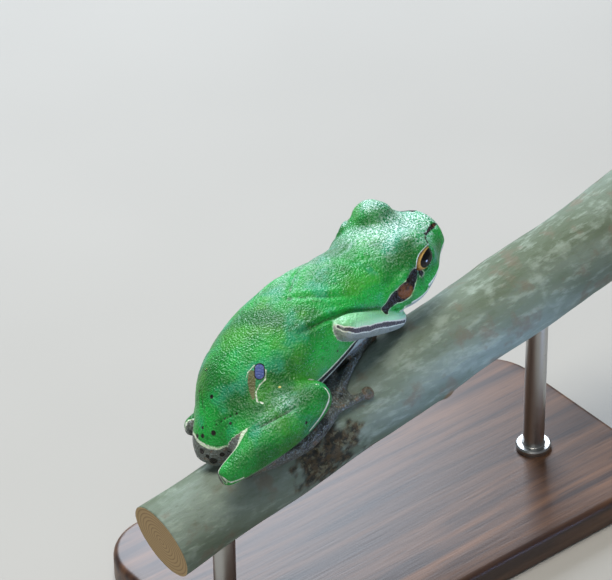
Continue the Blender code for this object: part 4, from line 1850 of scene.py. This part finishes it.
            # Painted shade: skin inside the lid opening, where it tucks under the eyeball, takes the dark
            # stripe's colour
            lid_gap_shade = np.maximum(values["front"], -beyond)
            values["front"] = np.where(near & (beyond < 0), lid_gap_shade, values["front"])
        lip = np.where((over < NO_MOUTH) & (station > 8.4), 0.14 - np.abs(over - LIP_RIM), UNMARKED)
        values["pale"] = np.maximum(values["pale"], lip)
        for grasp in GRASPS:
            for tip in grasp.tips:
                away = away_from(self.perch.on_bark(tip.along, tip.degrees, 0.5), points)
                values["disc"] = np.maximum(values["disc"], grasp.disc_radius - 0.15 - away)
        # Painted shade: how hollow the skin is, for darkening its creases in the colour
        values["hollow"] = hollows(skin, 6)
        for key, stored in values.items():
            write_values(skin, key, stored)

    def painted_sheen(self, points: Array, normals: Array) -> Array:
        """How thickly the painted highlight of pale grains lies: on the head's top, the brows and the back's
        left ridge, where the skin faces up towards the light.

        Args:
            points: The places.
            normals: The skin's directions there.

        Returns:
            One value for each place, from 0 to 1.
        """
        on_head = smoothstep(18.0, 22.5, points[:, 0])
        front = smoothstep(0.6, 0.96, normals @ unit(np.array((0.42, 0.12, 0.86))))
        ridge = smoothstep(0.7, 1.0, normals @ unit(np.array((-0.1, 0.62, 0.78))))
        ridge *= smoothstep(2.0, 12.0, points[:, 0])
        cloud = 0.75 + 0.5 * grain(points, 3.0, 4.0)
        made = (front * on_head + 0.5 * ridge * (1 - on_head)) * cloud
        for place, reach, most in PAINTED_SHEEN_SPOTS:
            made = np.maximum(made, most * bell(away_from(HEAD.spot(*place), points), reach))
        for place, reach in SHEEN_FREE_SPOTS:
            made *= 1 - 0.85 * bell(away_from(HEAD.spot(*place), points), reach)
        return np.clip(made, 0, 1)

    def beyond_grasp(self, grasp: Grasp, points: Array) -> Array:
        """How far points lie outside a hand or foot, in millimetres.

        Args:
            grasp: The hand or foot.
            points: The places.

        Returns:
            One distance for each place.
        """
        line = [joint.place for joint in grasp.root]
        line.append(self.perch.on_bark(grasp.palm.along, grasp.palm.degrees, grasp.palm_over))
        away, _ = to_polyline(points, line)
        away -= 1.25
        palm = self.perch.on_bark(grasp.palm.along, grasp.palm.degrees, 0.6)
        for tip in grasp.tips:
            end = self.perch.on_bark(tip.along, tip.degrees, 0.5)
            turn = (tip.degrees + grasp.palm.degrees) / 2
            halfway = self.perch.on_bark((tip.along + grasp.palm.along) / 2, turn, 0.6)
            toe, _ = to_polyline(points, [palm, halfway, end])
            away = np.minimum(away, toe - 0.8)
        return away


# The eyes


@dataclass(frozen=True)
class EyeFinish:
    """A living eye under a wet cornea: golden iris flecked with brown, and a black pupil."""

    gold: str = "#b57c32"
    bright: str = "#dcb265"
    brown: str = "#4f2c10"
    black: str = "#030303"
    pupil_shape: tuple[float, float] = (0.62, 0.76)

    def make(self) -> bpy.types.Material:
        """Lays out the material.

        Returns:
            The material.
        """
        bench = Bench("wet_golden_eye")
        add = bench.add
        seat = add("Attribute", {"attribute_name": "iris_seat"}, "Vector")
        # The seat is in millimetres, so the flecks are about 0.2 mm wide
        flecks = add("TexNoise", {"Vector": seat, "Scale": 5.0, "Detail": 5.0, "Roughness": 0.7})
        pupil, iris = (
            add("VectorMath", {"operation": "LENGTH", 0: add("Mapping", {"Vector": seat, "Scale": scale})})
            for scale in ((*self.pupil_shape, 0.0), (1.0, 1.0, 0.0))
        )
        layers = []
        for tone, value, low, high, most in (
            (self.gold, flecks, 0.4, 0.6, 1.0),
            (self.bright, pupil, 1.15, 0.95, 0.8),
            (self.black, pupil, 0.95, 0.9, 1.0),
            (self.brown, iris, 1.75, 1.95, 1.0),
        ):
            ends = {"From Min": low, "From Max": high, "To Max": most}
            layers.append((tone, add("MapRange", {"Value": value, **ends})))
        cornea = {"Coat Weight": 1.0, "Coat Roughness": 0.02, "Coat IOR": 1.36}
        colour = bench.lay(self.brown, *layers)
        return bench.finish({"Roughness": 0.5, "Specular IOR Level": 0.05, "Base Color": colour, **cornea})


@dataclass
class Eye:
    """One eye, with its gaze and the line of its pupil."""

    side: Side
    gaze_forward: float = 0.376
    gaze_up: float = 0.181
    cornea: float = 0.1

    def build(self) -> bpy.types.Object:
        """Makes the eyeball with its cornea, dressed.

        Returns:
            The finished piece.
        """
        centre = HEAD.eye(self.side)
        gaze = unit(HEAD.aim(self.gaze_forward, self.side.value * 0.9, self.gaze_up))
        ahead = unit(HEAD.aim(1.0, 0, 0) - gaze * (HEAD.aim(1.0, 0, 0) @ gaze))
        rise = np.cross(gaze, ahead)
        bpy.ops.object.select_all(action="DESELECT")
        bpy.ops.mesh.primitive_uv_sphere_add(
            segments=96, ring_count=64, radius=HEAD.eye_radius, location=(0, 0, 0)
        )
        piece = bpy.context.view_layer.objects.active
        piece.name = f"{self.side.word}_eyeball"
        points = read_points(piece)
        ray = unit(points)
        points = points + ray * (self.cornea * bell(1 - ray[:, 2], 0.12))[:, None]
        made = piece.data.attributes.new("iris_seat", "FLOAT_VECTOR", "POINT")
        made.data.foreach_set("vector", points.astype(np.float32).ravel())
        turned = points @ np.array([ahead, rise, gaze])
        write_points(piece, turned + centre)
        piece.data.shade_smooth()
        with edited(piece.data) as bm:
            bmesh.ops.recalc_face_normals(bm, faces=bm.faces)
        piece.data.materials.append(EyeFinish().make())
        return settle(piece, "eye", f"eye_{self.side.word}")


# The display stand


@dataclass(frozen=True)
class OiledWoodFinish:
    """Dark oiled walnut: straight grain, open pores and a low satin sheen."""

    light: str = "#6b4a33"
    dark: str = "#33211a"

    def make(self) -> bpy.types.Material:
        """Lays out the material.

        Returns:
            The material.
        """
        bench = Bench("oiled_walnut")
        add = bench.add
        along = add("Mapping", {"Vector": bench.place, "Scale": (0.06, 1.0, 1.0)})
        wave = add("TexNoise", {"Vector": along, "Scale": per(2.2), "Detail": 6.0, "Distortion": 0.6})
        # Walnut's pores are 0.1 to 0.2 mm wide; they are drawn at 0.35 mm, so that they show
        pores = add("TexNoise", {"Vector": along, "Scale": per(0.35), "Detail": 2.0})
        tone = add("MapRange", {"Value": wave, "From Min": 0.35, "From Max": 0.65})
        pits = add("MapRange", {"Value": pores, "From Min": 0.4, "From Max": 0.3, "To Max": 0.5})
        bump = add("Bump", {"Strength": 0.25, "Distance": 0.08 * MM, "Height": pores})
        colour = bench.lay(self.dark, (self.light, tone), (self.dark, pits))
        return bench.finish({"Roughness": 0.42, "Base Color": colour, "Normal": bump})


@dataclass(frozen=True)
class BrushedSteelFinish:
    """Brushed stainless steel: a grey metal with fine lines round the rod."""

    grey: str = "#b4b4b2"

    def make(self) -> bpy.types.Material:
        """Lays out the material.

        Returns:
            The material.
        """
        bench = Bench("brushed_stainless_steel")
        lines = bench.add("Mapping", {"Vector": bench.place, "Scale": (0.1, 0.1, 1.0)})
        # Brush lines are finer in life; they are drawn at 0.12 mm, so that they show
        brush = bench.add("TexNoise", {"Vector": lines, "Scale": per(0.12), "Detail": 2.0})
        rough = bench.add("MapRange", {"Value": brush, "To Min": 0.22, "To Max": 0.42})
        return bench.finish({"Base Color": self.grey, "Metallic": 1.0, "Roughness": rough})


@dataclass
class Stand:
    """The flat base and the two rods that hold the branch."""

    perch: Perch
    length: float = 72.0
    width: float = 38.0
    thickness: float = 4.0
    corner: float = 8.0
    edge: float = 0.9
    foot_edge: float = 0.3
    rod_radius: float = 1.5
    collar_radius: float = 2.5
    collar_height: float = 0.8
    sunk: float = 0.9
    rods: dict[str, float] = field(default_factory=lambda: {"rear": -13.0, "front": 42.0})

    def build(self) -> None:
        """Makes the base and the rods, dressed."""
        self.build_base()
        steel = BrushedSteelFinish().make()
        for name, along in self.rods.items():
            self.build_rod(name, along, steel)

    def build_base(self) -> bpy.types.Object:
        """A slab with round corners and a softened upper edge.

        Returns:
            The base.
        """
        bpy.ops.object.select_all(action="DESELECT")
        size = (self.length * MM, self.width * MM, self.thickness * MM)
        bpy.ops.mesh.primitive_cube_add(size=1.0, location=(0, 0, size[2] / 2), scale=size)
        slab = bpy.context.view_layer.objects.active
        slab.name = "walnut_base"
        bpy.ops.object.transform_apply(location=True, rotation=True, scale=True)
        with edited(slab.data) as bm:
            posts = [e for e in bm.edges if abs(e.verts[0].co.z - e.verts[1].co.z) > size[2] / 2]
            bmesh.ops.bevel(bm, geom=posts, offset=self.corner * MM, segments=14, affect="EDGES", profile=0.5)
            for height, offset, steps in ((size[2], self.edge, 5), (0.0, self.foot_edge, 2)):
                rim = [e for e in bm.edges if all(abs(v.co.z - height) < 0.01 * MM for v in e.verts)]
                bmesh.ops.bevel(bm, geom=rim, offset=offset * MM, segments=steps, affect="EDGES", profile=0.5)
            bmesh.ops.recalc_face_normals(bm, faces=bm.faces)
        slab.data.shade_smooth()
        select_only(slab)
        bpy.ops.object.shade_smooth_by_angle(angle=math.radians(35))
        slab.data.materials.append(OiledWoodFinish().make())
        return tie(slab, "stand_wood", "stand_base")

    def build_rod(self, name: str, along: float, steel: bpy.types.Material) -> bpy.types.Object:
        """A rod that rises from a thin collar and ends in the branch's underside.

        Args:
            name: Which rod it is.
            along: Where it meets the branch.
            steel: Its finish.

        Returns:
            The rod with its collar.
        """
        foot = SPACE.matrix() @ Vector((along, 0, 0)) / MM
        under = float(self.perch.reach(np.array([along]), np.array([math.pi]))[0])
        high = (SPACE.matrix() @ Vector((along, 0, self.sunk - under))).z / MM
        collar = self.thickness + self.collar_height
        profile = (
            (self.rod_radius, high),
            (self.rod_radius, collar + 0.1),
            (self.rod_radius + 0.15, collar),
            (self.collar_radius - 0.2, collar),
            (self.collar_radius, collar - 0.2),
            (self.collar_radius, self.thickness + 0.01),
        )
        angle = np.linspace(0, 2 * math.pi, 56, endpoint=False)
        round_way = np.stack([np.cos(angle), np.sin(angle), 0 * angle], axis=1)
        rings = np.array([round_way * radius + (foot.x, foot.y, z) for radius, z in profile])
        piece = skin_rings(f"steel_rod_{name}", rings * MM)
        piece.data.shade_smooth()
        select_only(piece)
        bpy.ops.object.shade_smooth_by_angle(angle=math.radians(30))
        piece.data.materials.append(steel)
        return tie(piece, "stand_metal", f"stand_rod_{name}")


# The studio


@dataclass(frozen=True)
class MattFloorFinish:
    """Pale matt card: dull, with faint clouds of tone."""

    dark: str = "#a9a7a2"
    pale: str = "#b3b1ac"

    def make(self) -> bpy.types.Material:
        """Lays out the material.

        Returns:
            The material.
        """
        bench = Bench("pale_matt_floor")
        cloud = bench.add("TexNoise", {"Vector": bench.place, "Scale": per(60), "Detail": 2.0})
        return bench.finish({"Roughness": 0.9, "Base Color": bench.lay(self.dark, (self.pale, cloud))})


class Lamp(NamedTuple):
    """A square softbox: its place and side in metres, power in watts, colour and beam in degrees."""

    name: str
    place: Point
    size: float
    power: float
    colour: str
    spread: float = 180.0

    def hang(self, target: Vector) -> None:
        """Puts it up, facing the target and unseen by the camera.

        Args:
            target: What it faces, in metres.
        """
        lamp = bpy.data.lights.new(self.name, "AREA")
        lamp.spread = math.radians(self.spread)
        lamp.size = self.size
        lamp.energy = self.power
        lamp.color = linear(self.colour)[:3]
        made = linked(self.name, lamp)
        made.location = self.place
        made.visible_camera = False
        made.rotation_euler = (target - Vector(self.place)).to_track_quat("-Z", "Y").to_euler()


LAMPS = (
    Lamp("sky_softbox", (0.18, 0.40, 0.36), 0.3, 4.0, "#e6f1ff"),
    Lamp("top_softbox", (-0.10, -0.02, 0.45), 0.2, 1.5, "#fffaf0"),
    Lamp("fill_softbox", (-0.34, -0.40, 0.22), 0.35, 0.4, "#eef4ff"),
    Lamp("catch_light", (0.036, -0.070, 0.012), 0.022, 0.0035, "#a9c6ff", 50.0),
)


@dataclass
class Studio:
    """A pale floor, soft light and the camera at the photograph's angle."""

    right: Point = (0.765, -0.6227, -0.1645)
    rise: Point = (0.52, 0.4465, 0.7281)
    toward: Point = (-0.38, -0.6426, 0.6654)
    aim_right: float = 0.78
    aim_rise: float = 20.13
    distance: float = 450.0
    pixels_per_mm: float = 7.7
    frame_width: float = 612.0
    sensor: float = 36.0
    lit: Point = (0.0, 0.0, 0.035)
    room: str = "#dfe4ea"
    room_light: float = 0.22

    def build(self) -> None:
        """Makes the floor, camera and lights."""
        self.floor()
        self.camera()
        for lamp in LAMPS:
            lamp.hang(Vector(self.lit))
        world = bpy.data.worlds.new("soft_room")
        bpy.context.scene.world = world
        world.use_nodes = True
        world.node_tree.nodes["Background"].inputs["Color"].default_value = linear(self.room)
        world.node_tree.nodes["Background"].inputs["Strength"].default_value = self.room_light
        bpy.context.scene.view_settings.view_transform = "Standard"

    def floor(self) -> None:
        """A wide pale floor, just under the base."""
        bpy.ops.object.select_all(action="DESELECT")
        bpy.ops.mesh.primitive_plane_add(size=6.0, location=(0, 0, -0.0001))
        plane = bpy.context.view_layer.objects.active
        plane.name = "floor"
        plane.data.materials.append(MattFloorFinish().make())
        plane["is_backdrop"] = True

    def camera(self) -> None:
        """A long lens at the photograph's angle and scale."""
        lens = bpy.data.cameras.new("camera")
        lens.sensor_width = self.sensor
        lens.lens = self.pixels_per_mm * self.sensor / self.frame_width * self.distance
        lens.clip_start = 0.01
        made = linked("camera", lens)
        aim = Vector(self.right) * self.aim_right + Vector(self.rise) * self.aim_rise
        place = SPACE.matrix() @ (aim + Vector(self.toward) * self.distance)
        axes = Matrix([SPACE.direction(self.right), SPACE.direction(self.rise), SPACE.direction(self.toward)])
        made.matrix_world = Matrix.Translation(place) @ axes.transposed().to_4x4()
        bpy.context.scene.camera = made


def main() -> None:
    """Builds every piece in order."""
    logging.basicConfig(level=logging.INFO, format="%(name)s %(message)s")
    perch = Perch()
    perch.build()
    Stand(perch).build()
    Skin(perch).build()
    for side in Side:
        Eye(side).build()
    Studio().build()
    boxes = {"cad": CAD_BOX, "visual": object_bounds()}
    plain = {key: [[float(value) for value in corner] for corner in box] for key, box in boxes.items()}


if __name__ == "__main__":
    main()
